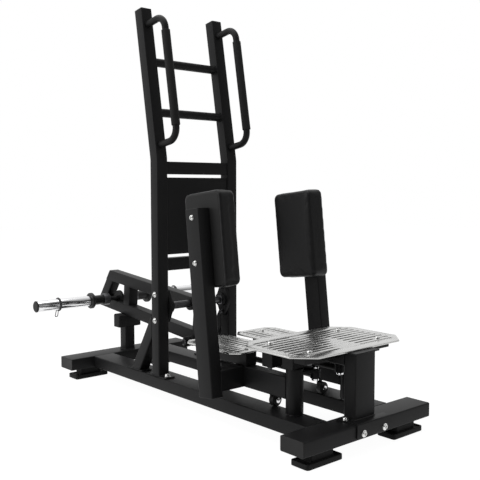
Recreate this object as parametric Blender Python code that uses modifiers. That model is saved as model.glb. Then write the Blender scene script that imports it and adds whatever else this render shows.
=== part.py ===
# Standing hip abductor machine. The user stands on the swinging foot plates, holds the ladder's
# handles and pushes two padded arms apart. Each arm turns on an upright shaft, and its crank
# pushes a rod that swings a weighted lever up off its rubber stop.
# X runs across the machine, Y from the fixed step at the front to the weights at the rear, Z up.
# All lengths are in metres. The origin is on the floor under the middle of the whole machine.

import bmesh
import bpy
from math import acos, atan2, cos, pi, radians, sin, tan
from mathutils import Matrix, Vector

# Clearance between pieces that touch, and between pieces that turn on each other
GAP = 0.0003

# Square tube and plate that most of the frame is made of
TUBE = 0.050
TUBE_ROUND = 0.004
PLATE = 0.005

# How far one welded shape reaches into the next
WELD = 0.0062

# Base: two flat rails between two cross members, on four feet
BASE_WIDTH = 0.637
BASE_LENGTH = 1.5205
BASE_TUBE_WIDE = 0.100
BASE_TUBE_HIGH = 0.050
RAIL_X = 0.1555
CAP_FACE = 0.003
CAP_PLUG = 0.012
CAP_WALL = 0.003
FOOT_X = 0.2105
FOOT_AHEAD = 0.004
FOOT_LONG = 0.161
FOOT_DEEP = 0.0756
FOOT_SOLE = 0.018
FOOT_ROUND = 0.005
NECK_LONG = 0.100
NECK_DEEP = 0.050
NECK_HIGH = 0.028

# Fixed step at the front, its post and the frame under it
STEP_TOP = 0.328
STEP_HALF_WIDTH = 0.268
STEP_FROM_FRONT = 0.0467
STEP_LONG = 0.334
STEP_CHAMFER = 0.065
FRONT_POST = 0.100
FRONT_POST_FROM_FRONT = 0.078
POST_FLANGE = 0.120
SPINE_WIDE = 0.100
SPINE_HIGH = 0.050
SPINE_BELOW = 0.0006
SPINE_END = 0.3847
FRONT_BAR_AT = 0.1237
FRONT_BAR_WIDTH = 0.424
FRONT_BAR_HIGH = 0.028
REAR_BAR_AT = 0.3077
REAR_BAR_WIDTH = 0.360
REAR_BAR_HIGH = 0.076

# Slots in the step and the foot plates
SLOT_LONG = 0.020
SLOT_WIDE = 0.009
SLOT_PITCH_X = 0.031
SLOT_PITCH_Y = 0.0248
SLOT_CLEAR = 0.014
STEP_BAND = 0.118
STEP_COLUMNS = 6
STEP_ROWS = 11
STEP_BOLT_X = 0.171
STEP_BOLTS_AT = (0.118, 0.302)
PLATE_COLUMNS = 5
PLATE_ROWS = 10

# Upright shafts and the plate that holds their tops
HUB_X = 0.137
HUB_FROM_FRONT = 0.2177
SHAFT_R = 0.015
SHAFT_FOOT_R = 0.027
SHAFT_FOOT = 0.004
SHAFT_PROUD = 0.005
HUB_PLATE = 0.011
HUB_PLATE_R = 0.035

# Ladder: two bent posts with rungs, cross bars, a back panel, handles and braces
POST_X = 0.1805
POST_FOOT_LONG = 0.130
BEND_Z = 0.968
LEAN = radians(9.7)
LEAN_LONG = 0.605
RUNG_R = 0.017
RUNGS_AT = (0.188, 0.394)
BAR_DEEP = 0.040
BAR_HIGH = 0.050
LOWER_BAR_Z = 0.5475
UPPER_BAR_Z = 0.933
PANEL_Z = 0.741
PANEL_HIGH = 0.308
PANEL_DEEP = 0.020
PANEL_SHEET = 0.003
HANDLE_REACH = 0.111
HANDLE_LOW = 0.0525
HANDLE_HIGH = 0.5385
HANDLE_BEND = 0.050
HANDLE_R = 0.0135
GRIP_R = 0.017
GRIP_AFTER_BEND = 0.002
GRIP_LONG = 0.374
BRACE_SLOPE = radians(58.4)
BRACE_BEHIND = 0.1483
BRACE_FOOT_LONG = 0.120
BRACE_FOOT_SHIFT = 0.010

# Lever: a welded frame of square tube on an axle between the posts
AXLE_FROM_FRONT = 0.936
AXLE_Z = 0.376
AXLE_R = 0.015
BEARING_BOLTS = 0.105
BEARING_END_R = 0.0175
BEARING_MIDDLE_R = 0.040
BEARING_FLANGE = 0.013
BEARING_BOSS_R = 0.029
BEARING_BOSS = 0.015
LEVER_TILT = radians(5.2)
LEVER_DEPTH = 0.136
LEVER_FRONT = 0.066
LEVER_TOP_REACH = 0.650
LEVER_BOTTOM_REACH = 0.7595
STRUT_AT = 0.495
AXLE_BOSS_R = 0.029
AXLE_BOSS_WIDE = 0.070
LUG_R = 0.035
LUG_THICK = 0.010

# Weight rod across the lever, with a collar and a plate sleeve at each end
ROD_AT = 0.592
ROD_R = 0.011
RING_R = 0.027
RING_FROM = 0.062
RING_TO = 0.092
COLLAR_R = 0.022
DISC_R = 0.037
DISC_FROM = 0.154
DISC_TO = 0.162
SLEEVE_R = 0.025
SLEEVE_TIP = 0.432
SLEEVE_CAP = 0.007
CLIP_AT = 0.320
CLIP_WIDE = 0.014
CLIP_WALL = 0.005
CLIP_WIRE_R = 0.003
CLIP_LOOP = 0.030

# Stop post on the rear cross member, with a rubber bumper as wide as shown
STOP_TOP = 0.203
STOP_FROM_REAR = 0.053
BUMPER_WIDE = 0.120
BUMPER_ROUND = 0.006

# Swinging arms and the linkage: the lever turns half as far as the arms
ARM_SWING = radians(35.0)
CRANK_R = 0.078
CRANK_THICK = 0.010
CRANK_END_R = 0.019
PIN_R = 0.008
PIN_HEAD_R = 0.013
PIN_HEAD = 0.009
HUB_R = 0.030
BEAM_HIGH = 0.075
BEAM_WIDE = 0.050
BEAM_UNDER = 0.147
SIDE_TUBE_AT = 0.252
LEG_INNER_X = 0.259
LEG_DEEP = 0.075
LEG_LEAN = radians(6.6)
LEG_AT = 0.2695
LEG_BOTTOM = 0.126
LEG_LONG = 0.659
CARRIER_FROM = 0.217
CARRIER_LONG = 0.270
FOOT_PLATE_INNER = 0.020
FOOT_PLATE_OUTER = 0.226
FOOT_PLATE_FROM = 0.205
FOOT_PLATE_LONG = 0.302
FOOT_PLATE_CHAMFER = 0.030

# Push rods
PUSH_ROD_R = 0.011
FRONT_EYE_R = 0.018
REAR_EYE_R = 0.021
REAR_EYE_WIDE = 0.020
EYE_SLACK = 0.0025
CROSS_PIN_REACH = 0.084
PIN_BOSS_R = 0.022
PIN_BOSS_WIDE = 0.080

# Pads: a cushion on a backing board, on the inside of each leg
PAD_Z = 0.676
PAD_TALL = 0.340
PAD_WIDE = 0.180
PAD_THICK = 0.057
PAD_CROWN = 0.007
PAD_PULL = 0.006
PAD_EDGE = 0.022
BOARD_THICK = 0.012
BOARD_INSET = 0.006
BOARD_ROUND = 0.018

# Support wheels under the arms, rolling on the rails
WHEEL_R = 0.022
WHEEL_WIDE = 0.020
WHEEL_IN = 0.018
WHEEL_AT = 0.112
WHEEL_AXLE_R = 0.005
WHEEL_NUT_R = 0.009
BRACKET_WIDE = 0.024
BRACKET_THICK = 0.006

# Places that follow from the sizes
BASE_UNDER = FOOT_SOLE + NECK_HIGH + GAP
BASE_TOP = BASE_UNDER + BASE_TUBE_HIGH
LEVER_TOP_W = TUBE / 2
LEVER_BOTTOM_W = -LEVER_DEPTH - TUBE / 2
LEVER_SWING = ARM_SWING / 2


def lever_offset(along, across):
    """The step in Y and Z from the axle to a point along and across the tilted lever."""
    step_y = along * cos(LEVER_TILT) - across * sin(LEVER_TILT)
    step_z = along * sin(LEVER_TILT) + across * cos(LEVER_TILT)
    return step_y, step_z


OVERALL_LENGTH = AXLE_FROM_FRONT + lever_offset(LEVER_BOTTOM_REACH, LEVER_BOTTOM_W)[0]
FRONT = -OVERALL_LENGTH / 2
AXLE_Y = FRONT + AXLE_FROM_FRONT
HUB_Y = FRONT + HUB_FROM_FRONT
CRANK_ANGLE = ARM_SWING / 2
PULL_LENGTH = CRANK_R * sin(CRANK_ANGLE) / sin(LEVER_SWING / 2)
PULL_Y = AXLE_Y - PULL_LENGTH * sin(LEVER_SWING / 2)
PULL_Z = AXLE_Z - PULL_LENGTH * cos(LEVER_SWING / 2)
CRANK_PIN_IN = CRANK_R * cos(CRANK_ANGLE)
CRANK_PIN_Y = HUB_Y - CRANK_R * sin(CRANK_ANGLE)
STEP_UNDER = STEP_TOP - PLATE
FRAME_TOP = STEP_UNDER - GAP
SPINE_UNDER = FRAME_TOP - SPINE_HIGH
HUB_PLATE_UNDER = SPINE_UNDER - HUB_PLATE
BEAM_TOP = BEAM_UNDER + BEAM_HIGH
CARRIER_TOP = BEAM_TOP + TUBE
PAD_BACK = LEG_INNER_X - GAP - BOARD_THICK - GAP

# Turns that lay a shape's own Z along a world axis: across, lengthways or upright
ACROSS = Matrix.Rotation(pi / 2, 3, "Z") @ Matrix.Rotation(pi / 2, 3, "X")
LENGTHWAYS = Matrix.Rotation(pi / 2, 3, "X")
UPRIGHT = Matrix.Identity(3)
SIDES = (("left", -1), ("right", 1))


def clear_scene():
    """Remove whatever the new file holds."""
    for item in list(bpy.data.objects):
        bpy.data.objects.remove(item, do_unlink=True)


def new_collection(name):
    """A collection in the scene."""
    collection = bpy.data.collections.new(name)
    bpy.context.scene.collection.children.link(collection)
    return collection


def new_material(name, colour, roughness, metallic):
    """A Principled material in one colour."""
    material = bpy.data.materials.new(name)
    material.use_nodes = True
    shader = material.node_tree.nodes["Principled BSDF"]
    shader.inputs["Base Color"].default_value = (*colour, 1.0)
    shader.inputs["Roughness"].default_value = roughness
    shader.inputs["Metallic"].default_value = metallic
    material.diffuse_color = (*colour, 1.0)
    return material


clear_scene()
MACHINE = new_collection("standing_hip_abductor_machine")
CUTTERS = new_collection("cutters")
BLACK_STEEL = new_material("black_powder_coat", (0.022, 0.022, 0.023), 0.45, 0.0)
PLATE_STEEL = new_material("brushed_plate", (0.62, 0.62, 0.60), 0.35, 1.0)
CHROME = new_material("chrome", (0.80, 0.80, 0.80), 0.12, 1.0)
RUBBER = new_material("black_rubber", (0.018, 0.018, 0.018), 0.75, 0.0)
PLASTIC = new_material("black_plastic", (0.020, 0.020, 0.020), 0.50, 0.0)
LEATHERETTE = new_material("black_leatherette", (0.016, 0.016, 0.017), 0.42, 0.0)
BOARD = new_material("black_board", (0.020, 0.020, 0.020), 0.60, 0.0)
GREY_STEEL = new_material("grey_steel", (0.30, 0.30, 0.31), 0.40, 1.0)


def place(name, mesh, centre, turn, material, pivot=None):
    """Put a mesh in the machine as one object, on its pivot's empty where it moves."""
    piece = bpy.data.objects.new(name, mesh)
    MACHINE.objects.link(piece)
    piece.data.materials.clear()
    piece.data.materials.append(material)
    piece.location = centre
    piece.rotation_euler = turn.to_euler()
    if pivot is not None:
        piece.parent = pivot
        piece.matrix_parent_inverse = Matrix.Translation(pivot.location).inverted()
    return piece


def pivot_at(name, place_of_axis):
    """An empty on a joint's axis, which carries the pieces that turn about it."""
    empty = bpy.data.objects.new(name, None)
    empty.location = place_of_axis
    MACHINE.objects.link(empty)
    return empty


def round_edges(piece, width, segments=2):
    """Round the piece's sharp edges."""
    bevel = piece.modifiers.new("rounded_edges", "BEVEL")
    bevel.width = width
    bevel.segments = segments
    bevel.limit_method = "ANGLE"
    bevel.angle_limit = radians(40)


def smooth(piece, angle=35):
    """Shade the round faces smooth and keep the sharp edges."""
    piece.data.shade_smooth()
    piece.data.set_sharp_from_angle(angle=radians(angle))


def retire(piece):
    """Turn a piece into a hidden helper for a Boolean."""
    MACHINE.objects.unlink(piece)
    CUTTERS.objects.link(piece)
    piece.hide_render = True
    piece.display_type = "WIRE"


def combine(piece, other, operation):
    """Join or cut a piece with another shape."""
    retire(other)
    boolean = piece.modifiers.new(other.name, "BOOLEAN")
    boolean.operation = operation
    boolean.solver = "EXACT"
    boolean.object = other


def join(piece, *others):
    """Weld other shapes to a piece."""
    for other in others:
        combine(piece, other, "UNION")


def cut(piece, *others):
    """Take other shapes out of a piece."""
    for other in others:
        combine(piece, other, "DIFFERENCE")


def block(name, size, centre, material, pivot=None, edge=0.0, turn=UPRIGHT):
    """A box of a size about its centre."""
    shape = bmesh.new()
    bmesh.ops.create_cube(shape, size=1.0)
    bmesh.ops.scale(shape, vec=size, verts=shape.verts)
    mesh = bpy.data.meshes.new(name)
    shape.to_mesh(mesh)
    shape.free()
    piece = place(name, mesh, centre, turn, material, pivot)
    if edge:
        round_edges(piece, edge)
    return piece


def cylinder(name, radius, length, centre, axis_turn, material, pivot=None, sides=32):
    """A round bar about its centre, along the turned Z."""
    shape = bmesh.new()
    bmesh.ops.create_cone(
        shape, cap_ends=True, segments=sides, radius1=radius, radius2=radius, depth=length
    )
    mesh = bpy.data.meshes.new(name)
    shape.to_mesh(mesh)
    shape.free()
    piece = place(name, mesh, centre, axis_turn, material, pivot)
    smooth(piece)
    return piece


def turned(name, profile, centre, axis_turn, material, pivot=None, steps=32):
    """A turned shape: a closed profile of radius and height, outer side top to bottom first."""
    mesh = bpy.data.meshes.new(name)
    points = [(radius, 0.0, height) for radius, height in profile]
    on_axis = profile[0][0] == 0.0 and profile[-1][0] == 0.0
    edges = [(i, i + 1) for i in range(len(points) - 1)]
    if not on_axis:
        edges.append((len(points) - 1, 0))
    mesh.from_pydata(points, edges, [])
    piece = place(name, mesh, centre, axis_turn, material, pivot)
    screw = piece.modifiers.new("turned", "SCREW")
    screw.steps = steps
    screw.render_steps = steps
    screw.use_merge_vertices = True
    screw.merge_threshold = 0.0001
    screw.use_smooth_shade = False
    return piece


def sleeve_profile(outer, inner, low, high, edge=0.001):
    """The profile of a bored round piece with broken outer edges."""
    return [
        (outer - edge, high),
        (outer, high - edge),
        (outer, low + edge),
        (outer - edge, low),
        (inner, low),
        (inner, high),
    ]


def outline(name, loops, thickness, centre, turn, material, pivot=None):
    """A flat outline, with any holes, made thick along its own Z."""
    curve = bpy.data.curves.new(name, "CURVE")
    curve.dimensions = "2D"
    curve.fill_mode = "BOTH"
    curve.extrude = thickness / 2
    for loop in loops:
        spline = curve.splines.new("POLY")
        spline.points.add(len(loop) - 1)
        spline.use_cyclic_u = True
        for point, (x, y) in zip(spline.points, loop):
            point.co = (x, y, 0.0, 1.0)
    return place(name, solid_mesh(name, curve), centre, turn, material, pivot)


def solid_mesh(name, curve):
    """A curve's closed mesh, with its caps welded on."""
    holder = bpy.data.objects.new(name + "_curve", curve)
    bpy.context.scene.collection.objects.link(holder)
    evaluated = holder.evaluated_get(bpy.context.evaluated_depsgraph_get())
    mesh = bpy.data.meshes.new_from_object(evaluated)
    mesh.name = name
    bpy.data.objects.remove(holder, do_unlink=True)
    shape = bmesh.new()
    shape.from_mesh(mesh)
    bmesh.ops.remove_doubles(shape, verts=shape.verts, dist=0.00005)
    bmesh.ops.recalc_face_normals(shape, faces=shape.faces)
    shape.to_mesh(mesh)
    shape.free()
    return mesh


def arc(centre, radius, start, end, steps):
    """Points on an arc, both ends included, angles in radians."""
    turn = (end - start) / steps
    return [
        (centre[0] + radius * cos(start + turn * i), centre[1] + radius * sin(start + turn * i))
        for i in range(steps + 1)
    ]


def rounded_rectangle(width, height, corner, steps=2):
    """A rectangle about the origin with round corners."""
    half_x = width / 2 - corner
    half_y = height / 2 - corner
    points = []
    for quarter, (x, y) in enumerate(((1, 1), (-1, 1), (-1, -1), (1, -1))):
        start = quarter * pi / 2
        points += arc((x * half_x, y * half_y), corner, start, start + pi / 2, steps)
    return points


def tube(name, width, height, length, centre, turn, material, pivot=None):
    """A length of square or rectangular tube with rounded long edges."""
    section = rounded_rectangle(width, height, TUBE_ROUND)
    return outline(name, [section], length, centre, turn, material, pivot)


def link_outline(radius_a, radius_b, distance, steps=6):
    """The outline round a circle at the origin and one at a distance along X."""
    lean = acos((radius_a - radius_b) / distance)
    around_b = arc((distance, 0.0), radius_b, -lean, lean, steps)
    around_a = arc((0.0, 0.0), radius_a, lean, 2 * pi - lean, 2 * steps)
    return around_b + around_a


def oval_outline(middle, end, spacing, steps=5):
    """The outline round a middle circle and two smaller ones on either side of it, along Y."""
    reach = spacing / 2
    lean = acos((middle - end) / reach)
    right = arc((0.0, 0.0), middle, lean - pi / 2, pi / 2 - lean, steps)
    top = arc((0.0, reach), end, pi / 2 - lean, pi / 2 + lean, steps)
    left = arc((0.0, 0.0), middle, pi / 2 + lean, 3 * pi / 2 - lean, steps)
    bottom = arc((0.0, -reach), end, 3 * pi / 2 - lean, 3 * pi / 2 + lean, steps)
    return right + top + left + bottom


def round_corners(points, radius, steps=5):
    """A path through points in space, with each inner corner rounded to a radius."""
    path = [Vector(points[0])]
    for before, corner, after in zip(points, points[1:], points[2:]):
        corner = Vector(corner)
        back = (Vector(before) - corner).normalized()
        ahead = (Vector(after) - corner).normalized()
        half = back.angle(ahead) / 2
        middle = corner + (back + ahead).normalized() * radius / sin(half)
        start = corner + back * radius / tan(half) - middle
        end = corner + ahead * radius / tan(half) - middle
        sweep = start.angle(end)
        for i in range(steps + 1):
            share = i / steps
            weight_start = sin((1 - share) * sweep) / sin(sweep)
            weight_end = sin(share * sweep) / sin(sweep)
            path.append(middle + start * weight_start + end * weight_end)
    path.append(Vector(points[-1]))
    return path


def bent_bar(name, path, radius, material, pivot=None, resolution=2):
    """A round bar or tube along a path, with closed ends."""
    curve = bpy.data.curves.new(name, "CURVE")
    curve.dimensions = "3D"
    curve.bevel_depth = radius
    curve.bevel_resolution = resolution
    curve.use_fill_caps = True
    spline = curve.splines.new("POLY")
    spline.points.add(len(path) - 1)
    for point, place_of_point in zip(spline.points, path):
        point.co = (*place_of_point, 1.0)
    piece = place(name, solid_mesh(name, curve), (0, 0, 0), UPRIGHT, material, pivot)
    smooth(piece)
    return piece


def chamfered_rectangle(low_x, high_x, low_y, high_y, chamfer):
    """A rectangle with its corners cut off at 45 degrees."""
    return [
        (low_x + chamfer, low_y),
        (high_x - chamfer, low_y),
        (high_x, low_y + chamfer),
        (high_x, high_y - chamfer),
        (high_x - chamfer, high_y),
        (low_x + chamfer, high_y),
        (low_x, high_y - chamfer),
        (low_x, low_y + chamfer),
    ]


def slot_outline(x, y):
    """A slot with round ends, long in X, with six points."""
    reach = SLOT_LONG / 2
    shoulder = reach - SLOT_WIDE * 0.3
    return [
        (x + reach, y),
        (x + shoulder, y + SLOT_WIDE / 2),
        (x - shoulder, y + SLOT_WIDE / 2),
        (x - reach, y),
        (x - shoulder, y - SLOT_WIDE / 2),
        (x + shoulder, y - SLOT_WIDE / 2),
    ]


def slot_rows(columns, rows, box, chamfer, bolts):
    """Slots in a lattice, left out near the cut corners and the bolts. The box is low and high
    X and Y of the plate."""
    low_x, high_x, low_y, high_y = box
    reach = SLOT_LONG / 2
    slots = []
    for x in columns:
        for y in rows:
            corner_x = min(x - low_x, high_x - x) - reach
            corner_y = min(y - low_y, high_y - y) - SLOT_WIDE / 2
            if corner_x + corner_y < chamfer + SLOT_CLEAR:
                continue
            if any(abs(x - u) < SLOT_PITCH_X / 2 and abs(y - v) < SLOT_PITCH_Y / 2 for u, v in bolts):
                continue
            slots.append(slot_outline(x, y))
    return slots


def spread(centre, count, pitch):
    """Places in a row about a centre."""
    return [centre + (i - (count - 1) / 2) * pitch for i in range(count)]


# Base


def base_rails():
    """Two flat rectangular tubes, front to rear, between the cross members."""
    length = BASE_LENGTH - 2 * BASE_TUBE_WIDE - 2 * GAP
    centre_z = BASE_UNDER + BASE_TUBE_HIGH / 2
    for side, sign in SIDES:
        centre = (sign * RAIL_X, FRONT + BASE_LENGTH / 2, centre_z)
        size = (BASE_TUBE_WIDE, BASE_TUBE_HIGH, length)
        tube(side + "_base_rail", *size, centre, LENGTHWAYS, BLACK_STEEL)


def cross_members():
    """The front and rear cross members, each with a plug cap at both ends."""
    centre_z = BASE_UNDER + BASE_TUBE_HIGH / 2
    member_long = BASE_WIDTH - 2 * (CAP_FACE + GAP)
    plug_wide = BASE_TUBE_WIDE - 2 * CAP_WALL
    plug_high = BASE_TUBE_HIGH - 2 * CAP_WALL
    places = (
        ("front", FRONT + BASE_TUBE_WIDE / 2),
        ("rear", FRONT + BASE_LENGTH - BASE_TUBE_WIDE / 2),
    )
    for end, centre_y in places:
        size = (BASE_TUBE_WIDE, BASE_TUBE_HIGH, member_long)
        member = tube(
            end + "_cross_member", *size, (0, centre_y, centre_z), ACROSS, BLACK_STEEL
        )
        for side, sign in SIDES:
            face_x = sign * (BASE_WIDTH / 2 - CAP_FACE / 2)
            plug_x = sign * (member_long / 2 - CAP_PLUG / 2)
            name = end + "_" + side
            recess = block(
                name + "_cap_recess",
                (CAP_PLUG + GAP, plug_wide, plug_high),
                (plug_x - sign * GAP / 2 + sign * GAP, centre_y, centre_z),
                BLACK_STEEL,
            )
            cut(member, recess)
            face = tube(
                name + "_cap", BASE_TUBE_WIDE, BASE_TUBE_HIGH, CAP_FACE,
                (face_x, centre_y, centre_z), ACROSS, PLASTIC,
            )
            plug = block(
                name + "_cap_plug",
                (CAP_PLUG, plug_wide - 2 * GAP, plug_high - 2 * GAP),
                (plug_x + sign * (2 * GAP), centre_y, centre_z),
                PLASTIC,
            )
            join(face, plug)


def feet():
    """Four feet: a wide rubber-shod sole with a narrower neck up to the cross member."""
    places = (
        ("front", FRONT + BASE_TUBE_WIDE / 2 - FOOT_AHEAD),
        ("rear", FRONT + BASE_LENGTH - BASE_TUBE_WIDE / 2 - FOOT_AHEAD),
    )
    for end, centre_y in places:
        for side, sign in SIDES:
            name = end + "_" + side + "_foot"
            centre_x = sign * FOOT_X
            sole = block(
                name, (FOOT_LONG, FOOT_DEEP, FOOT_SOLE), (centre_x, centre_y, FOOT_SOLE / 2),
                RUBBER, edge=FOOT_ROUND,
            )
            neck = block(
                name + "_neck", (NECK_LONG, NECK_DEEP, NECK_HIGH + FOOT_SOLE / 2),
                (centre_x, centre_y, FOOT_SOLE + NECK_HIGH / 2 - FOOT_SOLE / 4), RUBBER,
            )
            join(sole, neck)


# Fixed step


def front_post():
    """The square box post under the step, with a flange on top."""
    foot_z = BASE_TOP + GAP
    top_z = FRAME_TOP - PLATE
    centre_y = FRONT + FRONT_POST_FROM_FRONT - TUBE / 2
    post = tube(
        "front_post", FRONT_POST, TUBE, top_z + PLATE / 2 - foot_z,
        (0, centre_y, (foot_z + top_z + PLATE / 2) / 2), UPRIGHT, BLACK_STEEL,
    )
    flange = tube(
        "front_post_flange", POST_FLANGE, TUBE + (POST_FLANGE - FRONT_POST) / 2, PLATE,
        (0, centre_y - (POST_FLANGE - FRONT_POST) / 4, FRAME_TOP - PLATE / 2), UPRIGHT, BLACK_STEEL,
    )
    join(post, flange)


def step_frame():
    """The welded frame under the step: spine, two cross bars and the plate over the hubs."""
    start = FRONT + FRONT_POST_FROM_FRONT + GAP
    end = FRONT + SPINE_END
    spine_high = SPINE_HIGH - SPINE_BELOW
    spine = tube(
        "step_frame", SPINE_WIDE, spine_high, end - start,
        (0, (start + end) / 2, SPINE_UNDER + spine_high / 2), LENGTHWAYS, BLACK_STEEL,
    )
    front_bar = tube(
        "front_step_bar", TUBE, FRONT_BAR_HIGH, FRONT_BAR_WIDTH,
        (0, FRONT + FRONT_BAR_AT, FRAME_TOP - FRONT_BAR_HIGH / 2), ACROSS, BLACK_STEEL,
    )
    rear_bar = tube(
        "rear_step_bar", TUBE, REAR_BAR_HIGH, REAR_BAR_WIDTH,
        (0, FRONT + REAR_BAR_AT, FRAME_TOP - REAR_BAR_HIGH / 2), ACROSS, BLACK_STEEL,
    )
    ends = arc((HUB_X, 0.0), HUB_PLATE_R, -pi / 2, pi / 2, 8)
    ends += arc((-HUB_X, 0.0), HUB_PLATE_R, pi / 2, 3 * pi / 2, 8)
    hub_plate = outline(
        "hub_plate", [ends], HUB_PLATE + WELD,
        (0, HUB_Y, HUB_PLATE_UNDER + (HUB_PLATE + WELD) / 2), UPRIGHT, BLACK_STEEL,
    )
    join(spine, front_bar, rear_bar, hub_plate)
    for side, sign in SIDES:
        hole = cylinder(
            side + "_shaft_hole", SHAFT_R + GAP, 3 * HUB_PLATE,
            (sign * HUB_X, HUB_Y, HUB_PLATE_UNDER + HUB_PLATE), UPRIGHT, BLACK_STEEL, sides=24,
        )
        cut(spine, hole)


def step_plate():
    """The fixed slotted step: two groups of slots with a plain band between them."""
    low_y = FRONT + STEP_FROM_FRONT
    high_y = low_y + STEP_LONG
    box = (-STEP_HALF_WIDTH, STEP_HALF_WIDTH, low_y, high_y)
    first = STEP_BAND / 2
    columns = [sign * (first + i * SLOT_PITCH_X) for sign in (-1, 1) for i in range(STEP_COLUMNS)]
    rows = spread((low_y + high_y) / 2, STEP_ROWS, SLOT_PITCH_Y)
    bolts = [
        (sign * STEP_BOLT_X, FRONT + bolt_at) for sign in (-1, 1) for bolt_at in STEP_BOLTS_AT
    ]
    loops = [chamfered_rectangle(*box, STEP_CHAMFER)]
    loops += slot_rows(columns, rows, box, STEP_CHAMFER, bolts)
    outline(
        "step_plate", loops, PLATE, (0, 0, STEP_UNDER + PLATE / 2), UPRIGHT, PLATE_STEEL
    )


def hub_shafts():
    """The upright shafts that the arms turn on, with a round foot on the rail."""
    low = BASE_TOP + GAP
    high = SPINE_UNDER + SHAFT_PROUD
    profile = [
        (0.0, high),
        (SHAFT_R - 0.0015, high),
        (SHAFT_R, high - 0.0015),
        (SHAFT_R, low + SHAFT_FOOT),
        (SHAFT_FOOT_R, low + SHAFT_FOOT),
        (SHAFT_FOOT_R, low),
        (0.0, low),
    ]
    for side, sign in SIDES:
        shaft = turned(
            side + "_hub_shaft", profile, (sign * HUB_X, HUB_Y, 0), UPRIGHT, GREY_STEEL, steps=20
        )
        smooth(shaft)


# Ladder


def post_point(along, ahead, centre_x=0.0):
    """A point by its distance along the leaning part from the bend, and ahead of its middle."""
    return Vector((
        centre_x,
        AXLE_Y + along * sin(LEAN) - ahead * cos(LEAN),
        BEND_Z + along * cos(LEAN) + ahead * sin(LEAN),
    ))


def ladder_posts():
    """Two bent square posts with a foot plate below and a plug cap on top."""
    foot_z = BASE_TOP + GAP
    mitre = TUBE / 2 * tan(LEAN / 2)
    half = TUBE / 2
    top = LEAN_LONG - CAP_FACE - GAP
    leaning = Matrix.Rotation(-LEAN, 3, "X")
    plug = TUBE - 2 * CAP_WALL
    for side, sign in SIDES:
        centre_x = sign * POST_X
        front_top = post_point(top, half)
        rear_top = post_point(top, -half)
        side_view = [
            (AXLE_Y - half, foot_z + PLATE / 2),
            (AXLE_Y + half, foot_z + PLATE / 2),
            (AXLE_Y + half, BEND_Z - mitre),
            (rear_top.y, rear_top.z),
            (front_top.y, front_top.z),
            (AXLE_Y - half, BEND_Z + mitre),
        ]
        post = outline(
            side + "_ladder_post", [side_view], TUBE, (centre_x, 0, 0), ACROSS, BLACK_STEEL
        )
        round_edges_along(post)
        foot = block(
            side + "_post_foot", (TUBE, POST_FOOT_LONG, PLATE),
            (centre_x, AXLE_Y, foot_z + PLATE / 2), BLACK_STEEL,
        )
        recess = block(
            side + "_post_recess", (plug, plug, CAP_PLUG + GAP),
            post_point(top - (CAP_PLUG - GAP) / 2, 0, centre_x), BLACK_STEEL, turn=leaning,
        )
        join(post, foot)
        cut(post, recess)
        cap = outline(
            side + "_post_cap", [rounded_rectangle(TUBE, TUBE, TUBE_ROUND)], CAP_FACE,
            post_point(LEAN_LONG - CAP_FACE / 2, 0, centre_x), leaning, PLASTIC,
        )
        stem = block(
            side + "_cap_stem", (plug - 2 * GAP, plug - 2 * GAP, CAP_PLUG),
            post_point(LEAN_LONG - CAP_FACE / 2 - CAP_PLUG / 2, 0, centre_x), PLASTIC, turn=leaning,
        )
        join(cap, stem)


def round_edges_along(piece):
    """Round the long edges of a tube that was cut from a side view, and leave its ends sharp."""
    mesh = piece.data
    shape = bmesh.new()
    shape.from_mesh(mesh)
    bmesh.ops.dissolve_limit(
        shape, angle_limit=radians(1), verts=shape.verts, edges=shape.edges
    )
    edges = [edge for edge in shape.edges if abs(edge.verts[0].co.z - edge.verts[1].co.z) < GAP]
    bmesh.ops.bevel(
        shape, geom=edges, offset=TUBE_ROUND, segments=2, affect="EDGES", profile=0.5
    )
    shape.to_mesh(mesh)
    shape.free()


def rungs():
    """Two round rungs between the leaning posts."""
    length = 2 * POST_X - TUBE - 2 * GAP
    for name, along in zip(("lower_rung", "upper_rung"), RUNGS_AT):
        cylinder(name, RUNG_R, length, post_point(along, 0), ACROSS, BLACK_STEEL, sides=24)


def cross_bars():
    """Two rectangular cross bars between the upright parts of the posts."""
    length = 2 * POST_X - TUBE - 2 * GAP
    for name, height in (("lower_cross_bar", LOWER_BAR_Z), ("upper_cross_bar", UPPER_BAR_Z)):
        tube(name, BAR_DEEP, BAR_HIGH, length, (0, AXLE_Y, height), ACROSS, BLACK_STEEL)


def back_panel():
    """A folded sheet panel between the posts, open at the rear."""
    width = 2 * POST_X - TUBE - 2 * GAP
    shape = bmesh.new()
    bmesh.ops.create_cube(shape, size=1.0)
    rear = [face for face in shape.faces if face.normal.y > 0.5]
    bmesh.ops.delete(shape, geom=rear, context="FACES")
    bmesh.ops.scale(shape, vec=(width, PANEL_DEEP, PANEL_HIGH), verts=shape.verts)
    mesh = bpy.data.meshes.new("back_panel")
    shape.to_mesh(mesh)
    shape.free()
    centre_y = AXLE_Y - BAR_DEEP / 2 + PANEL_DEEP / 2
    panel = place("back_panel", mesh, (0, centre_y, PANEL_Z), UPRIGHT, BLACK_STEEL)
    sheet = panel.modifiers.new("sheet", "SOLIDIFY")
    sheet.thickness = PANEL_SHEET
    sheet.offset = -1.0
    sheet.use_even_offset = True


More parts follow.
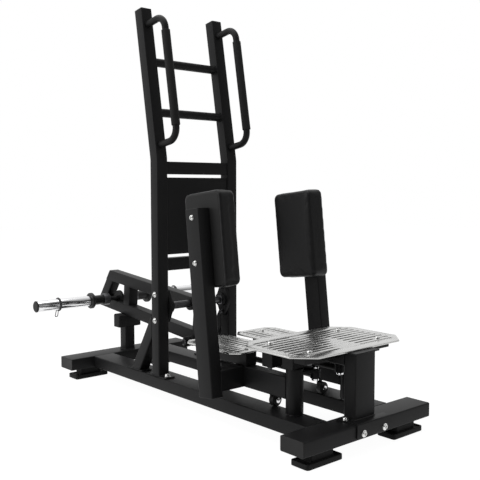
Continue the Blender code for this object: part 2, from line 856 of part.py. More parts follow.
def handles():
    """A D-shaped handle on each post's front face, with a thicker grip on its straight."""
    face = TUBE / 2 + GAP
    reach = TUBE / 2 + HANDLE_REACH
    middle = HANDLE_LOW + HANDLE_BEND + GRIP_AFTER_BEND + GRIP_LONG / 2
    leaning = Matrix.Rotation(-LEAN, 3, "X")
    for side, sign in SIDES:
        centre_x = sign * POST_X
        corners = [
            post_point(HANDLE_LOW, face, centre_x),
            post_point(HANDLE_LOW, reach, centre_x),
            post_point(HANDLE_HIGH, reach, centre_x),
            post_point(HANDLE_HIGH, face, centre_x),
        ]
        path = round_corners(corners, HANDLE_BEND)
        bent_bar(side + "_handle", path, HANDLE_R, BLACK_STEEL, resolution=4)
        profile = sleeve_profile(
            GRIP_R, HANDLE_R + GAP, -GRIP_LONG / 2, GRIP_LONG / 2, edge=0.002
        )
        grip = turned(
            side + "_grip", profile, post_point(middle, reach, centre_x), leaning, RUBBER, steps=20
        )
        smooth(grip)


def braces():
    """A sloping brace from each rail to the rear face of its post."""
    foot_z = BASE_TOP + GAP
    half = TUBE / 2 / sin(BRACE_SLOPE)
    rise = tan(BRACE_SLOPE)
    post_face = AXLE_Y + TUBE / 2 + GAP
    foot_y = AXLE_Y + BRACE_BEHIND
    start_z = foot_z + PLATE / 2
    for side, sign in SIDES:
        side_view = [
            (foot_y - half, start_z),
            (foot_y + half, start_z),
            (post_face, start_z + (foot_y + half - post_face) * rise),
            (post_face, start_z + (foot_y - half - post_face) * rise),
        ]
        brace = outline(
            side + "_brace", [side_view], TUBE, (sign * POST_X, 0, 0), ACROSS, BLACK_STEEL
        )
        round_edges_along(brace)
        foot = block(
            side + "_brace_foot", (TUBE, BRACE_FOOT_LONG, PLATE),
            (sign * POST_X, foot_y + BRACE_FOOT_SHIFT, foot_z + PLATE / 2), BLACK_STEEL,
        )
        join(brace, foot)


def stop_post():
    """The post on the rear cross member and the rubber bumper that the lever rests on."""
    centre_y = FRONT + BASE_LENGTH - STOP_FROM_REAR
    foot_z = BASE_TOP + GAP
    tube(
        "stop_post", TUBE, TUBE, STOP_TOP - foot_z,
        (0, centre_y, (STOP_TOP + foot_z) / 2), UPRIGHT, BLACK_STEEL,
    )
    corners = []
    for edge_y in (centre_y + TUBE / 2, centre_y - TUBE / 2):
        along = (edge_y - AXLE_Y + LEVER_BOTTOM_W * sin(LEVER_TILT)) / cos(LEVER_TILT)
        corners.append((edge_y, AXLE_Z + lever_offset(along, LEVER_BOTTOM_W)[1] - GAP))
    side_view = [
        (centre_y - TUBE / 2, STOP_TOP + GAP),
        (centre_y + TUBE / 2, STOP_TOP + GAP),
        corners[0],
        corners[1],
    ]
    bumper = outline("stop_bumper", [side_view], BUMPER_WIDE, (0, 0, 0), ACROSS, RUBBER)
    flatten(bumper)
    round_edges(bumper, BUMPER_ROUND)


def flatten(piece):
    """Merge the triangles of flat faces back into whole faces, so that edges round cleanly."""
    shape = bmesh.new()
    shape.from_mesh(piece.data)
    bmesh.ops.dissolve_limit(
        shape, angle_limit=radians(1), verts=shape.verts, edges=shape.edges
    )
    shape.to_mesh(piece.data)
    shape.free()


def flange_bearings():
    """Two-bolt oval flange bearings on the posts' inner faces, which carry the lever's axle."""
    face_x = POST_X - TUBE / 2 - GAP
    boss_long = BEARING_FLANGE + BEARING_BOSS
    for side, sign in SIDES:
        bearing = outline(
            side + "_flange_bearing",
            [oval_outline(BEARING_MIDDLE_R, BEARING_END_R, BEARING_BOLTS)], BEARING_FLANGE,
            (sign * (face_x - BEARING_FLANGE / 2), AXLE_Y, AXLE_Z), ACROSS, BLACK_STEEL,
        )
        boss = cylinder(
            side + "_bearing_boss", BEARING_BOSS_R, boss_long - 0.001,
            (sign * (face_x - 0.001 - (boss_long - 0.001) / 2), AXLE_Y, AXLE_Z), ACROSS, BLACK_STEEL,
        )
        bore = cylinder(
            side + "_bearing_bore", AXLE_R + GAP, 3 * boss_long,
            (sign * (face_x - boss_long / 2), AXLE_Y, AXLE_Z), ACROSS, BLACK_STEEL,
        )
        join(bearing, boss)
        cut(bearing, bore)


# Lever


def lever_pieces():
    """The axle, the welded lever frame and the cross pin that the push rods pull on."""
    pivot = pivot_at("lever_pivot", (0, AXLE_Y, AXLE_Z))
    axle_long = 2 * (POST_X - TUBE / 2 - BEARING_FLANGE / 4)
    edge = 0.0015
    axle = turned(
        "lever_axle",
        [
            (0.0, axle_long / 2),
            (AXLE_R - edge, axle_long / 2),
            (AXLE_R, axle_long / 2 - edge),
            (AXLE_R, -axle_long / 2 + edge),
            (AXLE_R - edge, -axle_long / 2),
            (0.0, -axle_long / 2),
        ],
        (0, AXLE_Y, AXLE_Z), ACROSS, GREY_STEEL, pivot, steps=24,
    )
    smooth(axle)
    lever_frame(pivot)
    reach = CROSS_PIN_REACH
    head = PIN_HEAD
    pin = turned(
        "lever_cross_pin",
        [
            (0.0, reach),
            (PIN_HEAD_R, reach),
            (PIN_HEAD_R, reach - head),
            (PIN_R, reach - head),
            (PIN_R, -reach + head),
            (PIN_HEAD_R, -reach + head),
            (PIN_HEAD_R, -reach),
            (0.0, -reach),
        ],
        (0, PULL_Y, PULL_Z), ACROSS, GREY_STEEL, pivot, steps=16,
    )
    smooth(pin)
    return pivot


def lever_frame(pivot):
    """Upper and lower beam, front tube, strut and slanted rear tube, welded in one plane, with
    bosses for the axle and the cross pin and a lug for the weight rod."""
    slant = (LEVER_BOTTOM_REACH - LEVER_TOP_REACH) / (LEVER_TOP_W - LEVER_BOTTOM_W)
    slant_wide = TUBE * (1 + slant * slant) ** 0.5
    under_top = LEVER_TOP_W - TUBE
    over_bottom = LEVER_BOTTOM_W + TUBE

    def rear_inside(across):
        return LEVER_TOP_REACH + (LEVER_TOP_W - across) * slant - slant_wide

    outer = [
        (-LEVER_FRONT, LEVER_BOTTOM_W),
        (LEVER_BOTTOM_REACH, LEVER_BOTTOM_W),
        (LEVER_TOP_REACH, LEVER_TOP_W),
        (-LEVER_FRONT, LEVER_TOP_W),
    ]
    front_window = [
        (TUBE - LEVER_FRONT, over_bottom),
        (STRUT_AT - TUBE / 2, over_bottom),
        (STRUT_AT - TUBE / 2, under_top),
        (TUBE - LEVER_FRONT, under_top),
    ]
    rear_window = [
        (STRUT_AT + TUBE / 2, over_bottom),
        (rear_inside(over_bottom), over_bottom),
        (rear_inside(under_top), under_top),
        (STRUT_AT + TUBE / 2, under_top),
    ]
    turn = Matrix.Rotation(LEVER_TILT, 3, "X") @ ACROSS
    frame = outline(
        "lever_frame", [outer, front_window, rear_window], TUBE,
        (0, AXLE_Y, AXLE_Z), turn, BLACK_STEEL, pivot,
    )
    round_tube_edges(frame)
    axle_boss = cylinder(
        "axle_boss", AXLE_BOSS_R, AXLE_BOSS_WIDE, (0, AXLE_Y, AXLE_Z), ACROSS, BLACK_STEEL, sides=24
    )
    pin_boss = cylinder(
        "pin_boss", PIN_BOSS_R, PIN_BOSS_WIDE, (0, PULL_Y, PULL_Z), ACROSS, BLACK_STEEL, sides=20
    )
    rod_across = over_bottom + GAP + ROD_R
    low = over_bottom - TUBE_ROUND
    lug_shape = arc((ROD_AT, rod_across), LUG_R, 0.0, pi, 10)
    lug_shape += [(ROD_AT - LUG_R, low), (ROD_AT + LUG_R, low)]
    lug = outline(
        "rod_lug", [lug_shape], LUG_THICK, (0, AXLE_Y, AXLE_Z), turn, BLACK_STEEL
    )
    join(frame, axle_boss, pin_boss, lug)
    rod_y, rod_z = rod_place()
    holes = (
        ("axle_bore", AXLE_R + GAP, (0, AXLE_Y, AXLE_Z), 2 * AXLE_BOSS_WIDE),
        ("cross_pin_bore", PIN_R + GAP, (0, PULL_Y, PULL_Z), 2 * PIN_BOSS_WIDE),
        ("rod_bore", ROD_R + GAP, (0, rod_y, rod_z), 3 * LUG_THICK),
    )
    for name, radius, centre, length in holes:
        cut(frame, cylinder(name, radius, length, centre, ACROSS, BLACK_STEEL, sides=24))


def round_tube_edges(piece):
    """Round only the edges between a flat side and a long face of a frame of tubes."""
    shape = bmesh.new()
    shape.from_mesh(piece.data)
    edges = [
        edge for edge in shape.edges
        if abs(edge.verts[0].co.z - edge.verts[1].co.z) < GAP
        and len(edge.link_faces) == 2
        and edge.calc_face_angle(0.0) > 1.0
    ]
    bmesh.ops.bevel(
        shape, geom=edges, offset=TUBE_ROUND, segments=2, affect="EDGES", profile=0.5
    )
    shape.to_mesh(piece.data)
    shape.free()


def rod_place():
    """The weight rod's place in Y and Z, lying on the lower beam."""
    across = LEVER_BOTTOM_W + TUBE + GAP + ROD_R
    step_y, step_z = lever_offset(ROD_AT, across)
    return AXLE_Y + step_y, AXLE_Z + step_z


def weight_rod_pieces(pivot):
    """The rod across the lever, with a stop collar, plate sleeve, end cap and clip each side."""
    rod_y, rod_z = rod_place()
    rod_reach = SLEEVE_TIP - SLEEVE_CAP - 0.020
    rod = turned(
        "weight_rod",
        [(0.0, rod_reach), (ROD_R, rod_reach), (ROD_R, -rod_reach), (0.0, -rod_reach)],
        (0, rod_y, rod_z), ACROSS, GREY_STEEL, pivot, steps=24,
    )
    smooth(rod)
    bore = ROD_R + GAP
    for side, sign in SIDES:
        facing = ACROSS if sign > 0 else ACROSS @ Matrix.Rotation(pi, 3, "X")
        collar = turned(
            side + "_stop_collar",
            [
                (COLLAR_R, DISC_TO),
                (DISC_R - 0.001, DISC_TO),
                (DISC_R, DISC_TO - 0.001),
                (DISC_R, DISC_FROM),
                (COLLAR_R, DISC_FROM),
                (COLLAR_R, RING_TO),
                (RING_R, RING_TO),
                (RING_R, RING_FROM),
                (bore, RING_FROM),
                (bore, DISC_TO),
            ],
            (0, rod_y, rod_z), facing, BLACK_STEEL, pivot, steps=24,
        )
        smooth(collar)
        tip = SLEEVE_TIP - SLEEVE_CAP - GAP
        sleeve = turned(
            side + "_plate_sleeve",
            sleeve_profile(SLEEVE_R, bore, DISC_TO + GAP, tip),
            (0, rod_y, rod_z), facing, CHROME, pivot, steps=28,
        )
        smooth(sleeve)
        cap = turned(
            side + "_sleeve_cap",
            [
                (0.0, SLEEVE_TIP),
                (SLEEVE_R - 0.004, SLEEVE_TIP),
                (SLEEVE_R, SLEEVE_TIP - 0.003),
                (SLEEVE_R, SLEEVE_TIP - SLEEVE_CAP),
                (bore - 2 * GAP, SLEEVE_TIP - SLEEVE_CAP),
                (bore - 2 * GAP, SLEEVE_TIP - SLEEVE_CAP - CAP_PLUG),
                (0.0, SLEEVE_TIP - SLEEVE_CAP - CAP_PLUG),
            ],
            (0, rod_y, rod_z), facing, PLASTIC, pivot, steps=24,
        )
        smooth(cap)
        spring_clip(side, sign, rod_y, rod_z)


def spring_clip(side, sign, rod_y, rod_z):
    """A collar clip on the sleeve with a wire loop to squeeze or lift it by."""
    pivot = pivot_at(side + "_clip_slide", (sign * CLIP_AT, rod_y, rod_z))
    inner = SLEEVE_R + GAP
    outer = inner + CLIP_WALL
    ring = turned(
        side + "_spring_clip",
        sleeve_profile(outer, inner, -CLIP_WIDE / 2, CLIP_WIDE / 2, edge=0.0015),
        (sign * CLIP_AT, rod_y, rod_z), ACROSS, CHROME, pivot, steps=28,
    )
    smooth(ring)
    wire_in = inner + CLIP_WALL / 2
    half = CLIP_WIDE / 2 - CLIP_WIRE_R / 2
    corners = [
        (sign * CLIP_AT - half, rod_y - CLIP_WIDE, rod_z - wire_in),
        (sign * CLIP_AT - half, rod_y - CLIP_WIDE, rod_z - outer - CLIP_LOOP),
        (sign * CLIP_AT + half, rod_y + CLIP_WIDE, rod_z - outer - CLIP_LOOP),
        (sign * CLIP_AT + half, rod_y + CLIP_WIDE, rod_z - wire_in),
    ]
    loop = bent_bar(
        side + "_clip_loop", round_corners(corners, 0.008, steps=3), CLIP_WIRE_R, CHROME,
        resolution=1,
    )
    join(ring, loop)


# Swinging arms


def arm_pieces(side, sign):
    """All that turns on one upright shaft."""
    pivot = pivot_at(side + "_arm_pivot", (sign * HUB_X, HUB_Y, 0))
    arm_frame(side, sign, pivot)
    foot_plate(side, sign, pivot)
    pad_board(side, sign, pivot)
    pad(side, sign, pivot)
    support_wheel(side, sign)
    push_rod(side, sign)


def leg_point(along):
    """The middle of the leg in Y and Z, a distance up from its lower end."""
    low_y = HUB_Y + LEG_AT - (BEAM_UNDER + BEAM_HIGH / 2 - LEG_BOTTOM) * tan(LEG_LEAN)
    return low_y + along * sin(LEG_LEAN), LEG_BOTTOM + along * cos(LEG_LEAN)


def arm_frame(side, sign, pivot):
    """Hub tube, crank, long beam, side tube, leaning leg and carrier tube, welded together."""
    hub_low = BASE_TOP + 2 * GAP + SHAFT_FOOT
    hub_high = HUB_PLATE_UNDER - GAP
    beam_z = BEAM_UNDER + BEAM_HIGH / 2
    beam_end = SIDE_TUBE_AT + TUBE / 2
    hub = cylinder(
        side + "_arm_frame", HUB_R, hub_high - hub_low,
        (sign * HUB_X, HUB_Y, (hub_low + hub_high) / 2), UPRIGHT, BLACK_STEEL, pivot, sides=24,
    )
    beam = tube(
        side + "_arm_beam", BEAM_WIDE, BEAM_HIGH, beam_end,
        (sign * HUB_X, HUB_Y + beam_end / 2, beam_z), LENGTHWAYS, BLACK_STEEL,
    )
    side_from = HUB_X + BEAM_WIDE / 4
    side_long = LEG_INNER_X + TUBE / 4 - side_from
    side_tube = tube(
        side + "_arm_side_tube", TUBE, BEAM_HIGH - 0.001, side_long,
        (sign * (side_from + side_long / 2), HUB_Y + SIDE_TUBE_AT - 0.0005, beam_z),
        ACROSS, BLACK_STEEL,
    )
    middle_y, middle_z = leg_point(LEG_LONG / 2)
    leg = tube(
        side + "_arm_leg", TUBE, LEG_DEEP, LEG_LONG,
        (sign * (LEG_INNER_X + TUBE / 2), middle_y, middle_z),
        Matrix.Rotation(-LEG_LEAN, 3, "X"), BLACK_STEEL,
    )
    carrier = tube(
        side + "_arm_carrier", TUBE - 0.001, TUBE + 0.006, CARRIER_LONG,
        (sign * HUB_X, HUB_Y + CARRIER_FROM + CARRIER_LONG / 2, CARRIER_TOP - (TUBE + 0.006) / 2),
        LENGTHWAYS, BLACK_STEEL,
    )
    join(hub, beam, side_tube, leg, carrier)
    crank(side, sign, hub)
    wheel_bracket(side, sign, hub)
    bore = cylinder(
        side + "_hub_bore", SHAFT_R + GAP, 2 * hub_high,
        (sign * HUB_X, HUB_Y, hub_high), UPRIGHT, BLACK_STEEL, sides=24,
    )
    cut(hub, bore)


def crank(side, sign, hub):
    """The crank plate on the hub's inner side and the pin that the push rod turns on."""
    under = PULL_Z + PUSH_ROD_R + GAP
    pin_x = sign * (HUB_X - CRANK_PIN_IN)
    direction = atan2(CRANK_PIN_Y - HUB_Y, pin_x - sign * HUB_X)
    plate = outline(
        side + "_crank", [link_outline(HUB_R - 0.001, CRANK_END_R, CRANK_R)], CRANK_THICK,
        (sign * HUB_X, HUB_Y, under + CRANK_THICK / 2),
        Matrix.Rotation(direction, 3, "Z"), BLACK_STEEL,
    )
    top = under + CRANK_THICK + PIN_HEAD
    eye_under = PULL_Z - PUSH_ROD_R - GAP
    pin = turned(
        side + "_crank_pin",
        [
            (0.0, top),
            (PIN_HEAD_R, top),
            (PIN_HEAD_R, top - PIN_HEAD - 0.001),
            (PIN_R, top - PIN_HEAD - 0.001),
            (PIN_R, eye_under),
            (PIN_HEAD_R, eye_under),
            (PIN_HEAD_R, eye_under - PIN_HEAD),
            (0.0, eye_under - PIN_HEAD),
        ],
        (pin_x, CRANK_PIN_Y, 0), UPRIGHT, CHROME, steps=16,
    )
    join(hub, plate, pin)


def wheel_bracket(side, sign, hub):
    """The bracket under the beam with the stub axle and nut of the support wheel."""
    wheel_x = sign * (HUB_X - WHEEL_IN)
    wheel_y = HUB_Y + WHEEL_AT
    wheel_z = BASE_TOP + GAP + WHEEL_R
    back_y = wheel_y + WHEEL_WIDE / 2 + GAP
    bracket_low = wheel_z - BRACKET_WIDE / 2
    bracket_high = BEAM_UNDER + TUBE_ROUND
    bracket = block(
        side + "_wheel_bracket", (BRACKET_WIDE, BRACKET_THICK, bracket_high - bracket_low),
        (wheel_x, back_y + BRACKET_THICK / 2, (bracket_low + bracket_high) / 2), BLACK_STEEL,
    )
    front = WHEEL_WIDE / 2 + GAP
    nut = 0.006
    stub = turned(
        side + "_wheel_stub",
        [
            (0.0, front + nut),
            (WHEEL_NUT_R, front + nut),
            (WHEEL_NUT_R, front),
            (WHEEL_AXLE_R, front),
            (WHEEL_AXLE_R, -front - BRACKET_THICK / 2),
            (0.0, -front - BRACKET_THICK / 2),
        ],
        (wheel_x, wheel_y, wheel_z), LENGTHWAYS, CHROME, steps=16,
    )
    join(hub, bracket, stub)


def foot_plate(side, sign, pivot):
    """The slotted foot plate on the carrier tube."""
    low_x, high_x = sorted((sign * FOOT_PLATE_INNER, sign * FOOT_PLATE_OUTER))
    low_y = HUB_Y + FOOT_PLATE_FROM
    high_y = low_y + FOOT_PLATE_LONG
    box = (low_x, high_x, low_y, high_y)
    columns = spread((low_x + high_x) / 2, PLATE_COLUMNS, SLOT_PITCH_X)
    rows = spread((low_y + high_y) / 2, PLATE_ROWS, SLOT_PITCH_Y)
    loops = [chamfered_rectangle(*box, FOOT_PLATE_CHAMFER)]
    loops += slot_rows(columns, rows, box, FOOT_PLATE_CHAMFER, [])
    outline(
        side + "_foot_plate", loops, PLATE, (0, 0, CARRIER_TOP + GAP + PLATE / 2),
        UPRIGHT, PLATE_STEEL, pivot,
    )


def pad_centre():
    """The pad's middle on the leg's line, in Y and Z."""
    along = (PAD_Z - LEG_BOTTOM) / cos(LEG_LEAN)
    return leg_point(along)


def pad_board(side, sign, pivot):
    """The board behind the pad, against the leg's inner face."""
    centre_y, centre_z = pad_centre()
    shape = rounded_rectangle(
        PAD_WIDE - 2 * BOARD_INSET, PAD_TALL - 2 * BOARD_INSET, BOARD_ROUND, steps=4
    )
    turn = Matrix.Rotation(-LEG_LEAN, 3, "X") @ ACROSS
    outline(
        side + "_pad_board", [shape], BOARD_THICK,
        (sign * (LEG_INNER_X - GAP - BOARD_THICK / 2), centre_y, centre_z), turn, BOARD, pivot,
    )


def pad(side, sign, pivot):
    """The cushion: a crowned front, sides drawn in at mid thickness, round corners and a flat
    back on the board. Own Z points from the board towards the user."""
    centre_y, centre_z = pad_centre()
    shape = bmesh.new()
    bmesh.ops.create_cube(shape, size=2.0)
    bmesh.ops.subdivide_edges(shape, edges=shape.edges, cuts=3, use_grid_fill=True)
    half = Vector((PAD_WIDE / 2, PAD_TALL / 2, PAD_THICK / 2))
    for vertex in shape.verts:
        vertex.co = pad_vertex(vertex.co, half)
    mesh = bpy.data.meshes.new(side + "_pad")
    shape.to_mesh(mesh)
    shape.free()
    inwards = Matrix.Rotation(-sign * pi / 2, 3, "Y")
    upright = Matrix.Rotation(sign * pi / 2, 3, "Z")
    turn = Matrix.Rotation(-LEG_LEAN, 3, "X") @ inwards @ upright
    piece = place(
        side + "_pad", mesh, (sign * (PAD_BACK - PAD_THICK / 2), centre_y, centre_z),
        turn, LEATHERETTE, pivot,
    )
    soft = piece.modifiers.new("soft", "SUBSURF")
    soft.levels = 1
    soft.render_levels = 1
    smooth(piece, 80)


def pad_vertex(point, half):
    """Move a vertex of the cube from -1 to 1 to its place on the cushion."""
    place_of_vertex = []
    for value, reach in zip(point, half):
        inner = 1 - PAD_EDGE / reach if reach > PAD_EDGE * 1.5 else 0.45
        size = abs(value)
        spread_out = inner * size / 0.5 if size <= 0.5 else inner + (1 - inner) * (size - 0.5) / 0.5
        place_of_vertex.append(spread_out if value >= 0 else -spread_out)
    x, y, z = place_of_vertex
    rim = max(abs(x), abs(y))
    crown = PAD_CROWN * (1 - x * x) * (1 - y * y) if z > 0 else 0.0
    drawn_in = PAD_PULL * (1 - z * z) if rim > 0.99 else 0.0
    return Vector((
        x * (half.x - drawn_in),
        y * (half.y - drawn_in),
        z * (half.z - PAD_CROWN / 2) - PAD_CROWN / 2 + crown,
    ))


def support_wheel(side, sign):
    """The wheel under the arm that rolls on the rail, turning on its stub axle."""
    place_of_wheel = (sign * (HUB_X - WHEEL_IN), HUB_Y + WHEEL_AT, BASE_TOP + GAP + WHEEL_R)
    pivot = pivot_at(side + "_wheel_axis", place_of_wheel)
    wheel = turned(
        side + "_support_wheel",
        sleeve_profile(
            WHEEL_R, WHEEL_AXLE_R + GAP, -WHEEL_WIDE / 2, WHEEL_WIDE / 2, edge=0.002
        ),
        place_of_wheel, LENGTHWAYS, RUBBER, pivot, steps=20,
    )
    smooth(wheel)


def push_rod(side, sign):
    """A long rod from the crank pin to the lever's cross pin, with an eye at each end. The rear
    eye has slack round the pin, because the pin also rises and sinks a little."""
    rod_x = sign * (HUB_X - CRANK_PIN_IN)
    pivot = pivot_at(side + "_crank_axis", (rod_x, CRANK_PIN_Y, PULL_Z))
    eye = cylinder(
        side + "_push_rod", FRONT_EYE_R, 2 * PUSH_ROD_R, (rod_x, CRANK_PIN_Y, PULL_Z),
        UPRIGHT, BLACK_STEEL, pivot, sides=20,
    )
    start = CRANK_PIN_Y + PIN_R + 0.004
    end = PULL_Y - PIN_R - EYE_SLACK - 0.004
    bar = cylinder(
        side + "_push_rod_bar", PUSH_ROD_R - 0.0004, end - start,
        (rod_x, (start + end) / 2, PULL_Z), LENGTHWAYS, BLACK_STEEL, sides=16,
    )
    rear_eye = cylinder(
        side + "_rear_eye", REAR_EYE_R, REAR_EYE_WIDE, (rod_x, PULL_Y, PULL_Z),
        ACROSS, BLACK_STEEL, sides=20,
    )
    join(eye, bar, rear_eye)
    front_bore = cylinder(
        side + "_front_eye_bore", PIN_R + GAP, 6 * PUSH_ROD_R, (rod_x, CRANK_PIN_Y, PULL_Z),
        UPRIGHT, BLACK_STEEL, sides=20,
    )
    rear_bore = cylinder(
        side + "_rear_eye_bore", PIN_R + EYE_SLACK, 3 * REAR_EYE_WIDE, (rod_x, PULL_Y, PULL_Z),
        ACROSS, BLACK_STEEL, sides=20,
    )
    cut(eye, front_bore, rear_bore)


base_rails()
cross_members()
feet()
front_post()
step_frame()
step_plate()
hub_shafts()
ladder_posts()
rungs()
cross_bars()
back_panel()
handles()
braces()
stop_post()
flange_bearings()
LEVER_PIVOT = lever_pieces()
weight_rod_pieces(LEVER_PIVOT)
for SIDE, SIGN in SIDES:
    arm_pieces(SIDE, SIGN)
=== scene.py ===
"""Standing hip abductor machine: its looks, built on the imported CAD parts.

X runs across the machine, Y from the fixed step at the front to the weight sleeves at the rear,
Z up, all in metres. The machine is put together from the floor up, then the lever, then the arms.
"""

import bmesh
import bpy
import numpy as np
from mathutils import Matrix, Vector


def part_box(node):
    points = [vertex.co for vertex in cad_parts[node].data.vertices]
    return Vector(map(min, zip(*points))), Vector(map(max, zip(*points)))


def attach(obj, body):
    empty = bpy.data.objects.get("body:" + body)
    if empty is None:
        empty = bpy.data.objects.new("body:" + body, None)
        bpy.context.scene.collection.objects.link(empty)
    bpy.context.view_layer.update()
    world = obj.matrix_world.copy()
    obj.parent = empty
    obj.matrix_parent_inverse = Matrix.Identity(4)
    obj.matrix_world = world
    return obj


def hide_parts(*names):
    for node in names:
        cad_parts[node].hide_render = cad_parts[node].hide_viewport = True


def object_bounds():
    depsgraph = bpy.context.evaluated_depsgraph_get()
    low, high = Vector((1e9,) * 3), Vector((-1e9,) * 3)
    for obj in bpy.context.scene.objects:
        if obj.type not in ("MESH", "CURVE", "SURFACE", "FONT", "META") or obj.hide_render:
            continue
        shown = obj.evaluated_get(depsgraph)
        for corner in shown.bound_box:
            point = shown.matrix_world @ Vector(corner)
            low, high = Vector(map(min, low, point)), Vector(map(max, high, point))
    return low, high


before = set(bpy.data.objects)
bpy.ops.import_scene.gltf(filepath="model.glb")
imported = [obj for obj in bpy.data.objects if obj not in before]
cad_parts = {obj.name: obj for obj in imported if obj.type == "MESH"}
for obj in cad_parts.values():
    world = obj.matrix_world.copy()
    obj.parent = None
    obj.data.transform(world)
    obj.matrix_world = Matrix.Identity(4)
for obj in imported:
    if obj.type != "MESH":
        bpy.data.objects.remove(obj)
cad_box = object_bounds()


# Camera
# It stands ahead of the machine's left front corner, at about waist height, and looks down by
# four degrees.
def stood(name, data):
    """A new object in the scene."""
    made = bpy.data.objects.new(name, data)
    bpy.context.scene.collection.objects.link(made)
    return made


camera_data = bpy.data.cameras.new("photo_camera")
camera_data.sensor_width = 36.0
camera_data.lens = 55.52
camera = stood("photo_camera", camera_data)
camera.location = (-1.8702, -2.3549, 0.8531)
camera.rotation_euler = np.radians([90 - 4.0235, 0.0567, -40.958])
bpy.context.scene.camera = camera


# Studio
# A pale floor that shows white to the camera and keeps a soft shadow, a white room that is darker
# ahead of the machine, and wide soft lamps over it, on its left and ahead of it.
bpy.context.scene.view_settings.view_transform = "Standard"
ROOM_LIGHT = 0.26
GLOSS_BEHIND = 1.0
GLOSS_AHEAD = 0.10
LAMPS = (
    ("lamp_over", (-0.6, 0.6, 3.6), (0.0, 0.1, 0.0), 3.4, 70.0),
    ("lamp_left", (-3.4, 0.9, 1.5), (0.0, 0.0, 0.6), 2.6, 36.0),
    ("lamp_front", (1.2, -3.6, 1.8), (0.0, 0.0, 0.5), 2.4, 10.0),
)
FLOOR_HALF = 12
FLOOR_SHOWN = 0.96


def added(tree, kind, values=(), **settings):
    """A new shader node with its settings, and then its input values."""
    made = tree.nodes.new("ShaderNode" + kind)
    for key, value in settings.items():
        setattr(made, key, value)
    for key, value in dict(values).items():
        made.inputs[key].default_value = value
    return made


def wired(tree, *links):
    """Each link runs from a node's output to a node's input."""
    for start, output, end, entry in links:
        tree.links.new(start.outputs[output], end.inputs[entry])


def mirrored(tree, path):
    """One for a ray that comes off a glossy surface or through glass, and nought for others."""
    either = added(tree, "Math", operation="MAXIMUM")
    wired(tree, (path, "Is Glossy Ray", either, 0), (path, "Is Transmission Ray", either, 1))
    return either


world = bpy.data.worlds.new("studio")
bpy.context.scene.world = world
world.use_nodes = True
world.cycles.sampling_method = "NONE"
room = world.node_tree
room.nodes.clear()
path = added(room, "LightPath")
direction = added(room, "TexCoord")
turned_back = added(room, "VectorMath", {1: (0.20, 0.90, 0.39)}, operation="DOT_PRODUCT")
gloss = added(room, "MapRange", {"From Min": -0.5, "From Max": 0.6, "To Min": GLOSS_AHEAD,
                                 "To Max": GLOSS_BEHIND})
gloss_or_fill = added(room, "Mix", {"A": ROOM_LIGHT})
white_or_room = added(room, "Mix", {"B": 1.0})
light = added(room, "Background", {"Color": (1, 1, 1, 1)})
wired(
    room,
    (direction, "Generated", turned_back, 0),
    (turned_back, "Value", gloss, "Value"),
    (mirrored(room, path), "Value", gloss_or_fill, "Factor"),
    (gloss, "Result", gloss_or_fill, "B"),
    (path, "Is Camera Ray", white_or_room, "Factor"),
    (gloss_or_fill, "Result", white_or_room, "A"),
    (white_or_room, "Result", light, "Strength"),
    (light, "Background", added(room, "OutputWorld"), "Surface"),
)

for name, place, aim, width, power in LAMPS:
    lamp_data = bpy.data.lights.new(name, "AREA")
    lamp_data.shape = "SQUARE"
    lamp_data.size = width
    lamp_data.energy = power
    lamp = stood(name, lamp_data)
    lamp.location = place
    lamp.rotation_euler = (Vector(aim) - Vector(place)).to_track_quat("-Z", "Y").to_euler()

floor_mesh = bpy.data.meshes.new("floor")
floor_corners = ((-1, -1), (1, -1), (1, 1), (-1, 1))
floor_mesh.from_pydata(
    [(x * FLOOR_HALF, y * FLOOR_HALF, 0) for x, y in floor_corners], [], [(0, 1, 2, 3)]
)
floor = stood("floor", floor_mesh)
pale = bpy.data.materials.new("pale_floor")
pale.use_nodes = True
tree = pale.node_tree
tree.nodes.clear()
path = added(tree, "LightPath")
bounced = added(tree, "BsdfDiffuse", {"Color": (0.55, 0.55, 0.55, 1)})
shadowed = added(tree, "BsdfDiffuse", {"Color": (0.16, 0.16, 0.16, 1)})
white = added(tree, "Emission", {"Strength": FLOOR_SHOWN})
shown = added(tree, "AddShader")
seen = added(tree, "Math", operation="MAXIMUM")
floor_mix = added(tree, "MixShader")
wired(
    tree,
    (white, 0, shown, 0),
    (shadowed, 0, shown, 1),
    (path, "Is Camera Ray", seen, 0),
    (mirrored(tree, path), "Value", seen, 1),
    (seen, "Value", floor_mix, 0),
    (bounced, 0, floor_mix, 1),
    (shown, 0, floor_mix, 2),
    (floor_mix, 0, added(tree, "OutputMaterial"), 0),
)
floor.data.materials.append(pale)


# Base rails and cross members
# Two 100 x 50 mm tubes laid flat between a front and a rear one, square cut, welded and powder
# coated satin black.
X, Y, Z = np.eye(3)
TUBE_CORNER = 0.0045
SEAT = 0.0003
POWDER_BLACK = (0.0128, 0.0128, 0.0132)


